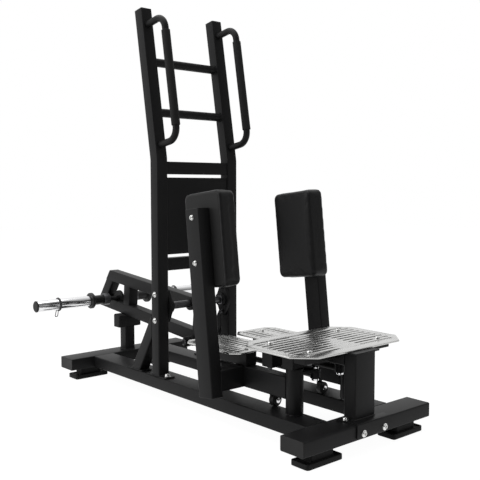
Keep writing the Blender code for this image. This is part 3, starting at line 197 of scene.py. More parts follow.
def rounded(corners, radius, steps=5, closed=True):
    """Corners eased into arcs. The arc at corner C touches both edges at radius / tan(half angle)
    from it, as the rational curve ((1-t)^2 A + 2t(1-t)w C + t^2 B) / ((1-t)^2 + 2t(1-t)w + t^2)
    with w = sin(half angle)."""
    points = np.asarray(corners, float)
    inner = points if closed else points[1:-1]
    back = (np.roll(points, 1, 0) - points) if closed else points[:-2] - inner
    ahead = (np.roll(points, -1, 0) - points) if closed else points[2:] - inner
    back = back / np.linalg.norm(back, axis=1, keepdims=True)
    ahead = ahead / np.linalg.norm(ahead, axis=1, keepdims=True)
    half = np.arccos(np.clip((back * ahead).sum(1), -1, 1)) / 2
    reach = (np.broadcast_to(radius, half.shape) / np.tan(half))[:, None]
    weight = np.sin(half)[:, None, None]
    t = np.linspace(0, 1, steps + 1)[None, :, None]
    start = (inner + back * reach)[:, None]
    end = (inner + ahead * reach)[:, None]
    share = ((1 - t) ** 2, 2 * t * (1 - t) * weight, t ** 2)
    arcs = (share[0] * start + share[1] * inner[:, None] + share[2] * end) / sum(share)
    arcs = arcs.reshape(-1, points.shape[1])
    return arcs if closed else np.vstack([points[:1], arcs, points[-1:]])


def rectangle(width, height, corner, steps=5):
    """The outline of a rectangle about the origin with rounded corners."""
    x, y = width / 2, height / 2
    return rounded([(x, -y), (x, y), (-x, y), (-x, -y)], corner, steps)


def shrunk(outline, insets):
    """One outline for each inset, shrunk about the origin until its widest points lie in by it."""
    return outline * (1 - np.reshape(insets, (-1, 1, 1)) / np.abs(outline).max(0))


def shell(rings, looped=False):
    """A surface over a grid of rings: point (i, j) joins (i, j+1), (i+1, j+1) and (i+1, j). Each
    ring is closed, and the first and last rings are filled, or joined where the shell is looped."""
    rows, around = rings.shape[:2]
    i = np.arange(rows if looped else rows - 1)[:, None]
    j = np.arange(around)[None, :]
    i2, j2 = (i + 1) % rows, (j + 1) % around
    quads = np.stack([i * around + j, i * around + j2, i2 * around + j2, i2 * around + j], -1)
    faces = quads.reshape(-1, 4).tolist()
    if not looped:
        faces.append(np.arange(around)[::-1].tolist())
        faces.append((np.arange(around) + (rows - 1) * around).tolist())
    return rings.reshape(-1, 3), faces


def carried(outline, centres, across, upwards, looped=False):
    """An outline carried through stations: point (i, j) = centre i + across i * x of outline point
    j + upwards i * y of it. It may be one outline, or one for each station."""
    centres = np.asarray(centres, float)
    across = np.broadcast_to(across, centres.shape)
    upwards = np.broadcast_to(upwards, centres.shape)
    if outline.ndim == 2:
        outline = np.broadcast_to(outline, (len(centres),) + outline.shape)
    return shell(
        centres[:, None]
        + across[:, None] * outline[:, :, :1]
        + upwards[:, None] * outline[:, :, 1:], looped,
    )


def straight(outline, start, end, across, upwards, ease=0.0008):
    """A straight length of an outline whose ends are eased: the end rings shrink by the ease."""
    start, end = np.array([start, end], float)
    along = (end - start) / np.linalg.norm(end - start)
    stations = np.stack([start, start + along * ease, end - along * ease, end])
    return carried(shrunk(outline, (ease, 0, 0, ease)), stations, across, upwards)


def closed_mesh(name, points, faces):
    """A mesh with its double points merged and its faces turned outwards."""
    mesh = bpy.data.meshes.new(name)
    mesh.from_pydata(points.tolist(), [], faces)
    cleaned = bmesh.new()
    cleaned.from_mesh(mesh)
    bmesh.ops.remove_doubles(cleaned, verts=cleaned.verts, dist=1e-6)
    bmesh.ops.recalc_face_normals(cleaned, faces=cleaned.faces)
    cleaned.to_mesh(mesh)
    cleaned.free()
    return mesh


def piece(name, shells, material, body, nodes=(), sharp=35):
    """Shells gathered into one mesh in its place, shaded smooth but for its sharp edges, riding on
    a body and standing for CAD nodes."""
    points, faces, first = [], [], 0
    for part_points, part_faces in shells:
        points.append(part_points)
        faces += [[first + k for k in face] for face in part_faces]
        first += len(part_points)
    mesh = closed_mesh(name, np.vstack(points), faces)
    mesh.shade_smooth()
    mesh.set_sharp_from_angle(angle=np.radians(sharp))
    made = stood(name, mesh)
    mesh.materials.append(material)
    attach(made, body)
    if nodes:
        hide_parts(*nodes)
    return made


def finish(name, colour, roughness, metallic, grain, bump, spread=0.04, streak=(1, 1, 1),
           gloss=0.5):
    """A finish of a colour, or of a grey given as one number, with fine grain: noise in metres
    raises the surface and shifts its roughness, and a broad noise shifts its colour a little."""
    material = bpy.data.materials.new(name)
    material.use_nodes = True
    tree = material.node_tree
    shader = tree.nodes["Principled BSDF"]
    shader.inputs["Metallic"].default_value = metallic
    shader.inputs["Specular IOR Level"].default_value = gloss
    colour = np.broadcast_to(colour, 3)
    dark = (*colour * 0.88, 1)
    bright = (*np.minimum(1.0, colour * 1.12), 1)
    place = added(tree, "TexCoord")
    stretch = added(tree, "Mapping", {"Scale": streak})
    fine = added(tree, "TexNoise", {"Scale": grain, "Detail": 3.0})
    broad = added(tree, "TexNoise", {"Scale": 9.0, "Detail": 2.0})
    shade = added(tree, "MapRange", {"From Min": 0.3, "From Max": 0.7,
                                     "To Min": roughness - spread, "To Max": roughness + spread})
    tint = added(tree, "Mix", {"A": dark, "B": bright}, data_type="RGBA")
    relief = added(tree, "Bump", {"Strength": 0.35, "Distance": bump})
    wired(
        tree,
        (place, "Object", stretch, "Vector"),
        (stretch, "Vector", fine, "Vector"),
        (place, "Object", broad, "Vector"),
        (fine, "Fac", shade, "Value"),
        (shade, "Result", shader, "Roughness"),
        (broad, "Fac", tint, "Factor"),
        (tint, "Result", shader, "Base Color"),
        (fine, "Fac", relief, "Height"),
        (relief, "Normal", shader, "Normal"),
    )
    return material


powder_coat = finish("satin_powder_coat", POWDER_BLACK, 0.44, 0.0, 900.0, 0.00012, gloss=0.12)


def coated(name, shells, nodes, body="base"):
    """A piece of welded steel in the machine's powder coat."""
    piece(name, shells, powder_coat, body, nodes)


def tube_from_box(node, axis, width_axis, height_axis, corner=TUBE_CORNER):
    """A straight tube with the lengths and place of a CAD node's box."""
    low, high = np.array(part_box(node))
    middle, size = (low + high) / 2, high - low
    along, across, upwards = np.eye(3)[[axis, width_axis, height_axis]]
    outline = rectangle(size[width_axis], size[height_axis], corner)
    half = along * size[axis] / 2
    return straight(outline, middle - half, middle + half, across, upwards)


for name in ("left_base_rail", "right_base_rail"):
    coated(name + "_tube", [tube_from_box(name, 1, 0, 2)], [name])
for name in ("front_cross_member", "rear_cross_member"):
    coated(name + "_tube", [tube_from_box(name, 0, 1, 2)], [name])


# Cross member end caps
# Moulded plugs pushed into the open tube ends, with a flat face as large as the tube and a small
# rounded edge.
SIDES = (("left", -1), ("right", 1))
CAP_ROWS = np.array([(0.0, 0.003), (0.0, 0.0010), (0.0004, 0.0004), (0.0012, 0.0), (0.0016, 0.0),
                     (0.0046, 0.0004)])
cap_plastic = finish("moulded_black_plastic", 0.020, 0.50, 0.0, 1400.0, 0.00006, gloss=0.2)
for end in ("front", "rear"):
    for side, sign in SIDES:
        name = end + "_" + side + "_cap"
        low, high = np.array(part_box(name))
        middle, size = (low + high) / 2, high - low
        outer = low[0] if sign < 0 else high[0]
        outlines = shrunk(rectangle(size[1], size[2], TUBE_CORNER), CAP_ROWS[:, 0])
        stations = [(outer - sign * depth, middle[1], middle[2]) for depth in CAP_ROWS[:, 1]]
        piece(name + "_face", [carried(outlines, stations, Y, Z)], cap_plastic,
              "base", [name])


# Feet
# Moulded rubber soles with a raised rim round a shallow tray, and a narrower block in it that the
# cross member is bolted on.
SOLE = 0.018
SOLE_RIM = 0.004
SOLE_TRAY = 0.004
SOLE_ROWS = np.array([
    (0.0015, 0.0), (0.0, 0.0015), (0.0, SOLE - 0.0015), (0.0006, SOLE - 0.0003), (0.0015, SOLE),
    (SOLE_RIM - 0.0006, SOLE), (SOLE_RIM, SOLE - 0.0008), (SOLE_RIM + 0.0004, SOLE - SOLE_TRAY),
])
NECK_FILLET = 0.0016
sole_rubber = finish("sole_rubber", 0.015, 0.62, 0.0, 1100.0, 0.0002, gloss=0.15)
for end in ("front", "rear"):
    for side, _ in SIDES:
        name = end + "_" + side + "_foot"
        low, high = np.array(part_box(name))
        middle, size = (low + high) / 2, high - low
        outlines = np.vstack([
            shrunk(rectangle(size[0], size[1], 0.009, 6), SOLE_ROWS[:, 0]),
            shrunk(rectangle(0.100, 0.050, 0.005, 6), (-NECK_FILLET, 0, 0)),
        ])
        tray = SOLE - SOLE_TRAY
        stations = [(middle[0], middle[1], height)
                    for height in (*SOLE_ROWS[:, 1], tray, tray + NECK_FILLET, size[2])]
        piece(name + "_sole", [carried(outlines, stations, X, Y)], sole_rubber,
              "base", [name])


# Front post
# A 100 x 50 mm box tube with a flange under the step, welded to a folded saddle plate that lies on
# the cross member and turns down over its front face.
low, high = np.array(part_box("front_post"))
cross_low, cross_high = np.array(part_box("front_cross_member"))
POST_DEEP = 0.050
POST_FRONT = high[1] - POST_DEEP
FLANGE = 0.005
SADDLE = 0.004
SADDLE_GAP = 0.0004
SADDLE_ENDS = (-0.077, 0.092)
SADDLE_BOLTS = (-0.044, 0.062)
SADDLE_DEEP = 0.063
SADDLE_DOWN = 0.046
post_outline = rectangle(0.100, POST_DEEP, TUBE_CORNER)
post_middle = np.array([0.0, high[1] - POST_DEEP / 2, 0.0])


def weld_bead(outline, centre, across, upwards, size=0.0035, lumps=90):
    """A fillet weld round an outline: a small triangle carried round it, whose size ripples as
    1 + 0.12 sin of the way round, as the torch stepped along."""
    closed = np.vstack([outline, outline[:1]])
    length = np.concatenate([[0], np.cumsum(np.linalg.norm(np.diff(closed, axis=0), axis=1))])
    way = np.linspace(0, length[-1], 6 * len(outline), endpoint=False)
    ring = np.stack([np.interp(way, length, closed[:, k]) for k in (0, 1)], 1)
    ahead = np.roll(ring, -1, 0) - np.roll(ring, 1, 0)
    ahead /= np.linalg.norm(ahead, axis=1, keepdims=True)
    out = np.stack([ahead[:, 1], -ahead[:, 0]], 1)
    ripple = size * (1 + 0.12 * np.sin(way / length[-1] * 2 * np.pi * lumps))
    profile = np.array([(-0.3, -0.3), (1.0, -0.3), (0.95, 0.12), (0.55, 0.55), (0.12, 0.95),
                        (-0.3, 1.0)])
    flat = ring[:, None] + out[:, None] * profile[None, :, :1] * ripple[:, None, None]
    lift = profile[None, :, 1] * ripple[:, None]
    return shell(centre + flat[..., :1] * across + flat[..., 1:] * upwards
                 + lift[..., None] * np.cross(across, upwards), looped=True)


lip = cross_low[1] - POST_FRONT
saddle_side = rounded(
    [(0.0, 0.0), (lip - SADDLE - SADDLE_GAP, 0.0), (lip - SADDLE - SADDLE_GAP, -SADDLE_DOWN),
     (lip + 0.0010, -SADDLE_DOWN), (lip + 0.0010, -SADDLE - 0.0010), (0.0, -SADDLE - 0.0010)],
    [0.0004, 0.0045, 0.001, 0.001, 0.0008, 0.0004], 4,
)
saddle_top = cross_high[2] + SEAT + SADDLE
saddle_at = (sum(SADDLE_ENDS) / 2, POST_FRONT + 0.0295)
flange_y = (low[1] + high[1]) / 2
coated("front_post_tube", [
    straight(post_outline, post_middle + (0, 0, low[2]), post_middle + (0, 0, high[2] - 0.004),
             X, Y),
    straight(rectangle(0.120, 0.060, 0.004), (0, flange_y, high[2] - FLANGE),
             (0, flange_y, high[2]), X, Y),
    straight(rectangle(SADDLE_ENDS[1] - SADDLE_ENDS[0], SADDLE_DEEP, 0.003),
             (*saddle_at, saddle_top - SADDLE), (*saddle_at, saddle_top - SEAT), X, Y),
    straight(saddle_side, (SADDLE_ENDS[0], POST_FRONT, saddle_top),
             (SADDLE_ENDS[1], POST_FRONT, saddle_top), Y, Z, 0.0004),
    weld_bead(post_outline, post_middle + (0, 0, saddle_top), X, Y, lumps=140),
], ["front_post"])


# Step frame
# The frame welded under the step: a 100 x 50 mm spine, two cross bars and a deeper box bar over
# the hubs that holds the tops of their shafts.
STEP_TOP = 0.328
PLATE_THICK = 0.005
FRAME_TOP = STEP_TOP - PLATE_THICK - SEAT
FRONT_Y = cad_box[0][1]
HUB_Y = FRONT_Y + 0.2177
HUB_BAR_UNDER = 0.2546
BAR_DEEP = (0.028, 0.076)
low, high = np.array(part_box("step_frame"))
spine_z = FRAME_TOP - 0.050 + 0.0247
step_bars = [
    straight(rectangle(0.100, 0.0494, TUBE_CORNER), (0, low[1], spine_z), (0, high[1], spine_z),
             X, Z),
]
for bar_y, bar_half, bar_high, corner in (
        (HUB_Y, 0.172, FRAME_TOP - HUB_BAR_UNDER, 0.0040),
        (FRONT_Y + 0.1237, 0.212, BAR_DEEP[0], 0.0035),
        (FRONT_Y + 0.3077, 0.180, BAR_DEEP[1], 0.0035)):
    bar_z = FRAME_TOP - bar_high / 2
    step_bars.append(
        straight(rectangle(0.050, bar_high, corner), (-bar_half, bar_y, bar_z),
                 (bar_half, bar_y, bar_z), Y, Z)
    )
coated("step_frame_tubes", step_bars, ["step_frame"])


# Step plate
# 5 mm steel plate with cut corners and two fields of long slots, brushed across and lacquered,
# on four button head bolts.
SLOT_WIDE = 0.0105
SLOT_PITCH = 0.0262
SLOT_MARGIN = 0.030
BOLT_CLEAR = 0.0165
STEP_CHAMFER = 0.065
STEP_SPANS = ((-0.231, -0.051), (0.051, 0.231))
STEP_BOLTS = [(s * 0.171, FRONT_Y + at) for s in (-1, 1) for at in (0.118, 0.302)]
plate_steel = finish("brushed_plate_steel", (0.53, 0.53, 0.52), 0.26, 1.0, 45.0, 0.000003, 0.05,
                     (1.0, 14.0, 1.0))


def slot_field(spans, rows, box, chamfer, bolts):
    """Long slots across each row, cut back from the plate's cut corners and parted round a bolt."""
    x0, x1, y0, y1 = box
    half = SLOT_WIDE / 2
    slots = []
    for row in rows:
        clear = chamfer + SLOT_MARGIN - min(row - y0, y1 - row)
        parts = [(max(start, x0 + clear), min(end, x1 - clear)) for start, end in spans]
        for bolt_x, bolt_y in bolts:
            if abs(row - bolt_y) < SLOT_PITCH / 2:
                parts = [part for start, end in parts for part in (
                    (start, min(end, bolt_x - BOLT_CLEAR)), (max(start, bolt_x + BOLT_CLEAR), end))]
        for start, end in parts:
            if end - start > 2 * SLOT_WIDE:
                corners = [(end, row - half), (end, row + half), (start, row + half),
                           (start, row - half)]
                slots.append(rounded(corners, half - 0.0003, 6))
    return slots


def slotted_plate(node, spans, rows, chamfer, body, bolts=()):
    """A plate in a CAD node's box: a filled flat curve of its outline, whose corners are cut off
    and eased, and of its slots, raised to its thickness with eased edges."""
    low, high = np.array(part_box(node))
    x0, x1, y0, y1 = box = (low[0], high[0], low[1], high[1])
    c = chamfer
    outline = rounded([(x1, y0 + c), (x1, y1 - c), (x1 - c, y1), (x0 + c, y1), (x0, y1 - c),
                       (x0, y0 + c), (x0 + c, y0), (x1 - c, y0)], 0.008, 4)
    thick = high[2] - low[2]
    ease = 0.0006
    curve = bpy.data.curves.new(node, "CURVE")
    curve.dimensions = "2D"
    curve.fill_mode = "BOTH"
    curve.extrude = thick / 2 - ease
    curve.bevel_depth = ease
    curve.bevel_resolution = 1
    curve.offset = -ease
    for loop in [outline] + slot_field(spans, rows, box, chamfer, bolts):
        spline = curve.splines.new("POLY")
        spline.points.add(len(loop) - 1)
        flat = np.hstack([loop, np.zeros((len(loop), 1)), np.ones((len(loop), 1))])
        spline.points.foreach_set("co", flat.ravel())
        spline.use_cyclic_u = True
    holder = stood(node + "_flat", curve)
    seen_curve = holder.evaluated_get(bpy.context.evaluated_depsgraph_get())
    mesh = bpy.data.meshes.new_from_object(seen_curve)
    bpy.data.objects.remove(holder, do_unlink=True)
    points = np.empty(len(mesh.vertices) * 3)
    mesh.vertices.foreach_get("co", points)
    points = points.reshape(-1, 3) + (0, 0, low[2] + thick / 2)
    faces = [list(face.vertices) for face in mesh.polygons]
    piece(node + "_sheet", [(points, faces)], plate_steel, body, [node], sharp=25)


step_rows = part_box("step_plate")[0][1] + 0.0468 + SLOT_PITCH * np.arange(10)
slotted_plate("step_plate", STEP_SPANS, step_rows, STEP_CHAMFER, "base", STEP_BOLTS)


# Hub shafts
# Turned steel shafts on round feet, bolted to the rails, with their tops in the bar over the hubs.
POLE = 0.001
shaft_steel = finish("blackened_steel", (0.075, 0.075, 0.078), 0.34, 0.8, 500.0, 0.00004)


def circle_of(radius, sides):
    """Points round a circle about the origin."""
    angle = np.linspace(0, 2 * np.pi, sides, endpoint=False)
    return radius * np.stack([np.cos(angle), np.sin(angle)], 1)


def turned(profile, origin, axis, sides=64, bore=False):
    """A profile of radius and height turned about a unit axis: point (i, j) = origin + axis *
    height i + radius i * (e1 cos a j + e2 sin a j). A bored shape joins its last ring to its
    first."""
    profile = np.asarray(profile, float)
    e1 = np.cross(axis, Z if abs(axis[2]) < 0.9 else X)
    e1 /= np.linalg.norm(e1)
    circle = circle_of(1.0, sides) @ np.stack([e1, np.cross(axis, e1)])
    return shell(origin + profile[:, None, 1:] * axis + profile[:, None, :1] * circle, bore)


def soft_profile(corners, ease, steps=3):
    """A turned profile whose inner corners are eased."""
    return rounded(corners, ease, steps, closed=False)


def bar_profile(radius, start, end, ease):
    """The profile of a solid round bar with eased ends."""
    return soft_profile([(POLE, start), (radius, start), (radius, end), (POLE, end)], ease)


def ring_profile(inner, outer, start, end, ease, steps=3):
    """The profile of a bored ring with eased corners."""
    return rounded([(inner, start), (outer, start), (outer, end), (inner, end)], ease, steps)


HUB = {side: np.array([sign * 0.137, HUB_Y, 0.0]) for side, sign in SIDES}
for side, _ in SIDES:
    name = side + "_hub_shaft"
    low, high = np.array(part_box(name))
    profile = soft_profile(
        [(POLE, low[2]), (0.027, low[2]), (0.027, low[2] + 0.004), (0.015, low[2] + 0.0045),
         (0.015, high[2]), (POLE, high[2])], 0.0006,
    )
    piece(name + "_bar", [turned(profile, HUB[side], Z)], shaft_steel, "base", [name])


# Ladder posts
# Two 50 mm square tubes, bent back by ten degrees at hip height and welded to flat foot plates
# that are bolted to the rails.
AXLE = np.array([0.0, FRONT_Y + 0.936, 0.376])
LEAN = np.radians(9.7)
UP_POST = np.array([0.0, np.sin(LEAN), np.cos(LEAN)])
AHEAD_POST = np.array([0.0, -np.cos(LEAN), np.sin(LEAN)])
BEND = np.array([0.0, AXLE[1], 0.968])
BEND_RADIUS = 0.060
POST_X = 0.1805
POST_FACE = 0.0253
POST_END = 0.605
FOOT_PLATE = 0.005
square_tube = rectangle(0.050, 0.050, TUBE_CORNER)


def on_post(along, ahead, x=0.0):
    """A point by its distance along the leaning part from the bend and ahead of its middle."""
    return BEND + UP_POST * along + AHEAD_POST * ahead + (x, 0, 0)


CAP_EDGE = np.array([(0.0, -0.0030), (0.0, -0.0010), (0.0003, -0.0003), (0.0010, 0.0),
                     (0.006, 0.0004)])
for side, sign in SIDES:
    name = side + "_ladder_post"
    foot = np.array([sign * POST_X, AXLE[1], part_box(name)[0][2]])
    turn = LEAN * np.linspace(0, 1, 7)
    level = np.stack([0 * turn, -np.cos(turn), np.sin(turn)], 1)
    pivot = BEND + (foot[0], BEND_RADIUS, -BEND_RADIUS * np.tan(LEAN / 2))
    centres = np.vstack([foot, pivot + BEND_RADIUS * level,
                         on_post(POST_END - 0.0033, 0, foot[0])])
    upwards = np.vstack([-Y, level, AHEAD_POST])
    foot_top = foot + (0, 0, FOOT_PLATE)
    coated(name + "_tube", [
        carried(square_tube, centres, X, upwards),
        straight(rectangle(0.050, 0.130, 0.003), foot, foot_top, X, Y),
        weld_bead(square_tube, foot_top, X, Y),
    ], [name])
    places = on_post(POST_END, 0, foot[0]) + UP_POST * CAP_EDGE[:, 1:]
    caps = carried(shrunk(square_tube, CAP_EDGE[:, 0]), places, X, AHEAD_POST)
    piece(side + "_post_cap_face", [caps], cap_plastic, "base", [side + "_post_cap"])


# Rungs, cross bars and back panel
# Two round tube rungs to hold or step on, two flat cross bars lower down and a folded sheet panel
# between them, all welded between the posts.
RUNG = 0.017
for name in ("lower_rung", "upper_rung"):
    low, high = np.array(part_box(name))
    middle = (low + high) / 2
    profile = [(POLE, low[0]), (RUNG, low[0]), (RUNG, high[0]), (POLE, high[0])]
    shells = [turned(profile, (0, middle[1], middle[2]), X, 72)]
    for end, facing in ((low[0], 1), (high[0], -1)):
        shells.append(weld_bead(circle_of(RUNG, 48), (end, middle[1], middle[2]), Y,
                                Z * facing, 0.003, 60))
    coated(name + "_tube", shells, [name])
for name in ("lower_cross_bar", "upper_cross_bar"):
    coated(name + "_tube", [tube_from_box(name, 0, 1, 2, 0.004)], [name])

low, high = np.array(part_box("back_panel"))
middle, half = (low + high) / 2, (high - low) / 2
rear = half[1]
rows = np.array([
    (0.0, rear), (0.0, -rear + 0.003), (0.0009, -rear + 0.0009), (0.003, -rear), (0.020, -rear),
    (half[2] - 0.002, -rear), (half[2] - 0.002, -rear + 0.003), (0.0055, -rear + 0.003),
    (0.0038, -rear + 0.0038), (0.003, -rear + 0.0055), (0.003, rear),
])
outlines = shrunk(rectangle(2 * half[0], 2 * half[2], 0.0035, 3), rows[:, 0])
places = [(0, middle[1] + depth, middle[2]) for depth in rows[:, 1]]
coated("back_panel_sheet", [carried(outlines, places, X, Z, looped=True)], ["back_panel"])


# Handles and grips
# Bent round tube welded to the front of each post, with a rubber grip pushed over its straight.
HANDLE_LOW = 0.0525
HANDLE_HIGH = 0.5385
HANDLE_REACH = 0.136
HANDLE_BEND = 0.050
HANDLE_RADIUS = 0.0135
grip_rubber = finish("grip_rubber", 0.016, 0.66, 0.0, 1600.0, 0.00015, gloss=0.15)


def along_path(radius, path, flat_normal, sides=40):
    """A round tube along a path in one plane: the circle stands on the plane's normal and on the
    path's own normal at each point."""
    ahead = np.gradient(path, axis=0)
    ahead /= np.linalg.norm(ahead, axis=1, keepdims=True)
    return carried(circle_of(radius, sides), path, np.cross(ahead, flat_normal), flat_normal)


start = HANDLE_LOW + HANDLE_BEND + 0.002
grip = np.vstack([
    soft_profile([(0.0138, start), (0.0171, start), (0.0171, start + 0.374),
                  (0.0138, start + 0.374)], 0.0022, 5),
    [(0.0138, start + 0.300), (0.0138, start + 0.100)],
])
for side, sign in SIDES:
    x = sign * POST_X
    corners = [on_post(at, ahead, x) for at, ahead in (
        (HANDLE_LOW, 0.0246), (HANDLE_LOW, HANDLE_REACH), (HANDLE_HIGH, HANDLE_REACH),
        (HANDLE_HIGH, 0.0246))]
    path = rounded(corners, HANDLE_BEND, 14, closed=False)
    shells = [along_path(HANDLE_RADIUS, path, X)]
    for at in (HANDLE_LOW, HANDLE_HIGH):
        shells.append(weld_bead(circle_of(HANDLE_RADIUS, 40), on_post(at, 0.0251, x), X,
                                -UP_POST, 0.003, 46))
    coated(side + "_handle_tube", shells, [side + "_handle"])
    sleeve = turned(grip, on_post(0, HANDLE_REACH, x), UP_POST, 56, bore=True)
    piece(side + "_grip_sleeve", [sleeve], grip_rubber, "base", [side + "_grip"])


# Braces
# Sloping 50 mm tubes that hold each post from behind, cut level at the foot and upright at the
# post, on bolted foot plates.
SLOPE = np.radians(58.4)
BRACE_FOOT = 0.1483
for side, sign in SIDES:
    name = side + "_brace"
    x, foot_y, low_z = sign * POST_X, AXLE[1] + BRACE_FOOT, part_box(name)[0][2]
    foot_top = low_z + FOOT_PLATE
    start_z = foot_top - 0.0025
    centres = [(x, foot_y, start_z),
               (x, AXLE[1] + POST_FACE, start_z + (BRACE_FOOT - POST_FACE) * np.tan(SLOPE))]
    level = [Y / np.sin(SLOPE), Z / np.cos(SLOPE)]
    coated(name + "_tube", [
        carried(square_tube, centres, X, level),
        straight(rectangle(0.050, 0.120, 0.003), (x, foot_y + 0.010, low_z),
                 (x, foot_y + 0.010, foot_top), X, Y),
        weld_bead(square_tube * (1, 1 / np.sin(SLOPE)), (x, foot_y, foot_top), X, Y),
    ], [name])


# Flange bearings
# Cast two-bolt oval housings on the posts' inner faces, with the polished race of the bearing
# round the axle.
OVAL_MIDDLE = 0.040
OVAL_END = 0.0175
BEARING_BOLT = 0.0525
race_steel = finish("bearing_race_steel", (0.12, 0.12, 0.125), 0.28, 0.9, 700.0, 0.00002)
lean = np.arccos((OVAL_MIDDLE - OVAL_END) / BEARING_BOLT)
quarter = np.pi / 2
oval_arcs = (
    (OVAL_MIDDLE, 0, lean - quarter, quarter - lean, 14),
    (OVAL_END, BEARING_BOLT, quarter - lean, quarter + lean, 12),
    (OVAL_MIDDLE, 0, quarter + lean, 3 * quarter - lean, 14),
    (OVAL_END, -BEARING_BOLT, 3 * quarter - lean, 3 * quarter + lean, 12),
)
oval = np.vstack([
    np.stack([radius * np.cos(t), middle + radius * np.sin(t)], 1)
    for radius, middle, t in ((r, c, np.linspace(a, b, n)) for r, c, a, b, n in oval_arcs)
])
oval_steps = np.array([(0.0, 0.0), (0.0, 0.0115), (0.0004, 0.0126), (0.0015, 0.013)])
boss = [(0.0295, 0.010), (0.0290, 0.0265), (0.0275, 0.028), (0.0215, 0.028), (0.0215, 0.024),
        (0.0153, 0.024), (0.0153, 0.010)]
race = [(0.0212, 0.020), (0.0212, 0.0265), (0.0205, 0.0270), (0.0170, 0.0270), (0.0158, 0.0300),
        (0.0152, 0.0300), (0.0152, 0.020)]
for side, sign in SIDES:
    name = side + "_flange_bearing"
    face = np.array([sign * (POST_X - POST_FACE), AXLE[1], AXLE[2]])
    inwards = X * -sign
    places = face + oval_steps[:, 1:] * inwards
    coated(name + "_housing", [
        carried(shrunk(oval, oval_steps[:, 0]), places, Y, Z),
        turned(boss, face, inwards, bore=True),
    ], [name])
    piece(name + "_race", [turned(race, face, inwards, bore=True)], race_steel,
          "base")


# Stop post and bumper
# A short square tube on the rear cross member with a rubber block on it, which the lever rests on.
TILT = np.radians(5.2)
low, high = np.array(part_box("stop_post"))
foot, top = ((0, (low[1] + high[1]) / 2, z) for z in (low[2], high[2]))
coated("stop_post_tube", [straight(square_tube, foot, top, X, Y),
                          weld_bead(square_tube, foot, X, Y)], ["stop_post"])
low, high = np.array(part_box("stop_bumper"))
middle, size = (low + high) / 2, high - low
rows = np.array([
    (0.003, low[2], 0), (0.0008, low[2] + 0.0010, 0), (0.0, low[2] + 0.003, 0),
    (0.0, high[2] - 0.0075, 1), (0.0009, high[2] - 0.0042, 1), (0.0035, high[2] - 0.0024, 1),
])
slope = rows[:, 2] * np.tan(TILT)
places = [(0, middle[1], height) for height in rows[:, 1]]
upwards = np.stack([0 * slope, 1 + 0 * slope, slope], 1)
bumper_rubber = finish("bumper_rubber", 0.020, 0.60, 0.0, 700.0, 0.00025, gloss=0.15)
block = carried(shrunk(rectangle(size[0], size[1], 0.006, 6), rows[:, 0]), places, X, upwards)
piece("stop_bumper_block", [block], bumper_rubber, "base", ["stop_bumper"])


# Lever axle and cross pin
# A turned shaft through both bearings, and a headed pin with washers through the boss under it
# that the push rods pull on.
low, high = np.array(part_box("lever_axle"))
piece("lever_axle_bar", [turned(bar_profile(0.015, low[0], high[0], 0.0012), AXLE, X)],
      shaft_steel, "lever", ["lever_axle"])
low, high = np.array(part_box("lever_cross_pin"))
PULL = (low + high) / 2
half_pin = np.array([(0.008, 0.009), (0.0125, 0.0085), (0.0130, 0.0075), (0.0130, 0.0035),
                     (0.0085, 0.0), (POLE, 0.0)])
pin = np.vstack([(half_pin - (0, high[0]))[::-1], half_pin * (1, -1) + (0, high[0])])
piece("lever_cross_pin_bar", [turned(pin, PULL, X, 48)], shaft_steel, "lever",
      ["lever_cross_pin"])


# Lever frame
# 50 mm square tubes welded in one plane: upper and lower beam, front tube, strut and a slanted
# rear tube, with bosses for axle and pin and a lug for the weight rod.
ALONG = np.array([0.0, np.cos(TILT), np.sin(TILT)])
OVER = np.array([0.0, -np.sin(TILT), np.cos(TILT)])
SLANT = (0.7595 - 0.650) / 0.186
REAR_TOP = 0.650
LOW_BEAM = -0.136
HALF_TUBE = 0.025
LUG_RADIUS = 0.035
ROD_AT = (0.592, -0.0997)


def on_lever(along, over):
    """A point along and over the tilted lever from its axle."""
    return AXLE + ALONG * along + OVER * over


def lever_tube(start, end, start_cut, end_cut, outline=square_tube):
    """A square tube between two points of the lever, each end cut along a direction: the outline's
    own height is stretched along the cut until it spans the tube."""
    ahead = np.subtract(end, start) / np.linalg.norm(np.subtract(end, start))
    normal = np.array([-ahead[1], ahead[0]])
    cuts = []
    for cut in (start_cut, end_cut):
        cut = cut / (cut @ normal)
        cuts.append(ALONG * cut[0] + OVER * cut[1])
    return carried(outline, [on_lever(*start), on_lever(*end)], X, cuts)


def cross_lever_tube(start, end):
    """A tube between the beams, cut along them and a little narrower than they are."""
    level = np.array([1.0, 0.0])
    return lever_tube(start, end, level, level, rectangle(0.0494, 0.050, TUBE_CORNER))


upright = np.array([0.0, 1.0])
leaning = np.array([-SLANT, 1.0])
mid_u = REAR_TOP + SLANT * 0.093 - HALF_TUBE * np.sqrt(1 + SLANT ** 2)
lug_place = on_lever(*ROD_AT)
lug_outline = np.vstack([circle_of(LUG_RADIUS, 54)[:28],
                         [(-LUG_RADIUS, -0.014), (LUG_RADIUS, -0.014)]])
coated("lever_frame_tubes", [
    lever_tube((-0.066, 0.0), (REAR_TOP + SLANT * HALF_TUBE - 0.0005, 0.0), upright, leaning),
    lever_tube((-0.066, LOW_BEAM), (REAR_TOP + SLANT * (HALF_TUBE - LOW_BEAM), LOW_BEAM), upright,
               leaning),
    cross_lever_tube((-0.041, -0.149), (-0.041, 0.013)),
    cross_lever_tube((0.495, -0.113), (0.495, -0.023)),
    cross_lever_tube((mid_u + SLANT * 0.080, -0.148), (mid_u - SLANT * 0.080, 0.012)),
    turned(bar_profile(0.029, -0.035, 0.035, 0.0012), AXLE, X),
    turned(bar_profile(0.022, -0.040, 0.040, 0.0012), PULL, X),
    straight(lug_outline, lug_place - (0.005, 0, 0), lug_place + (0.005, 0, 0), ALONG, OVER,
             0.0006),
], ["lever_frame"], "lever")


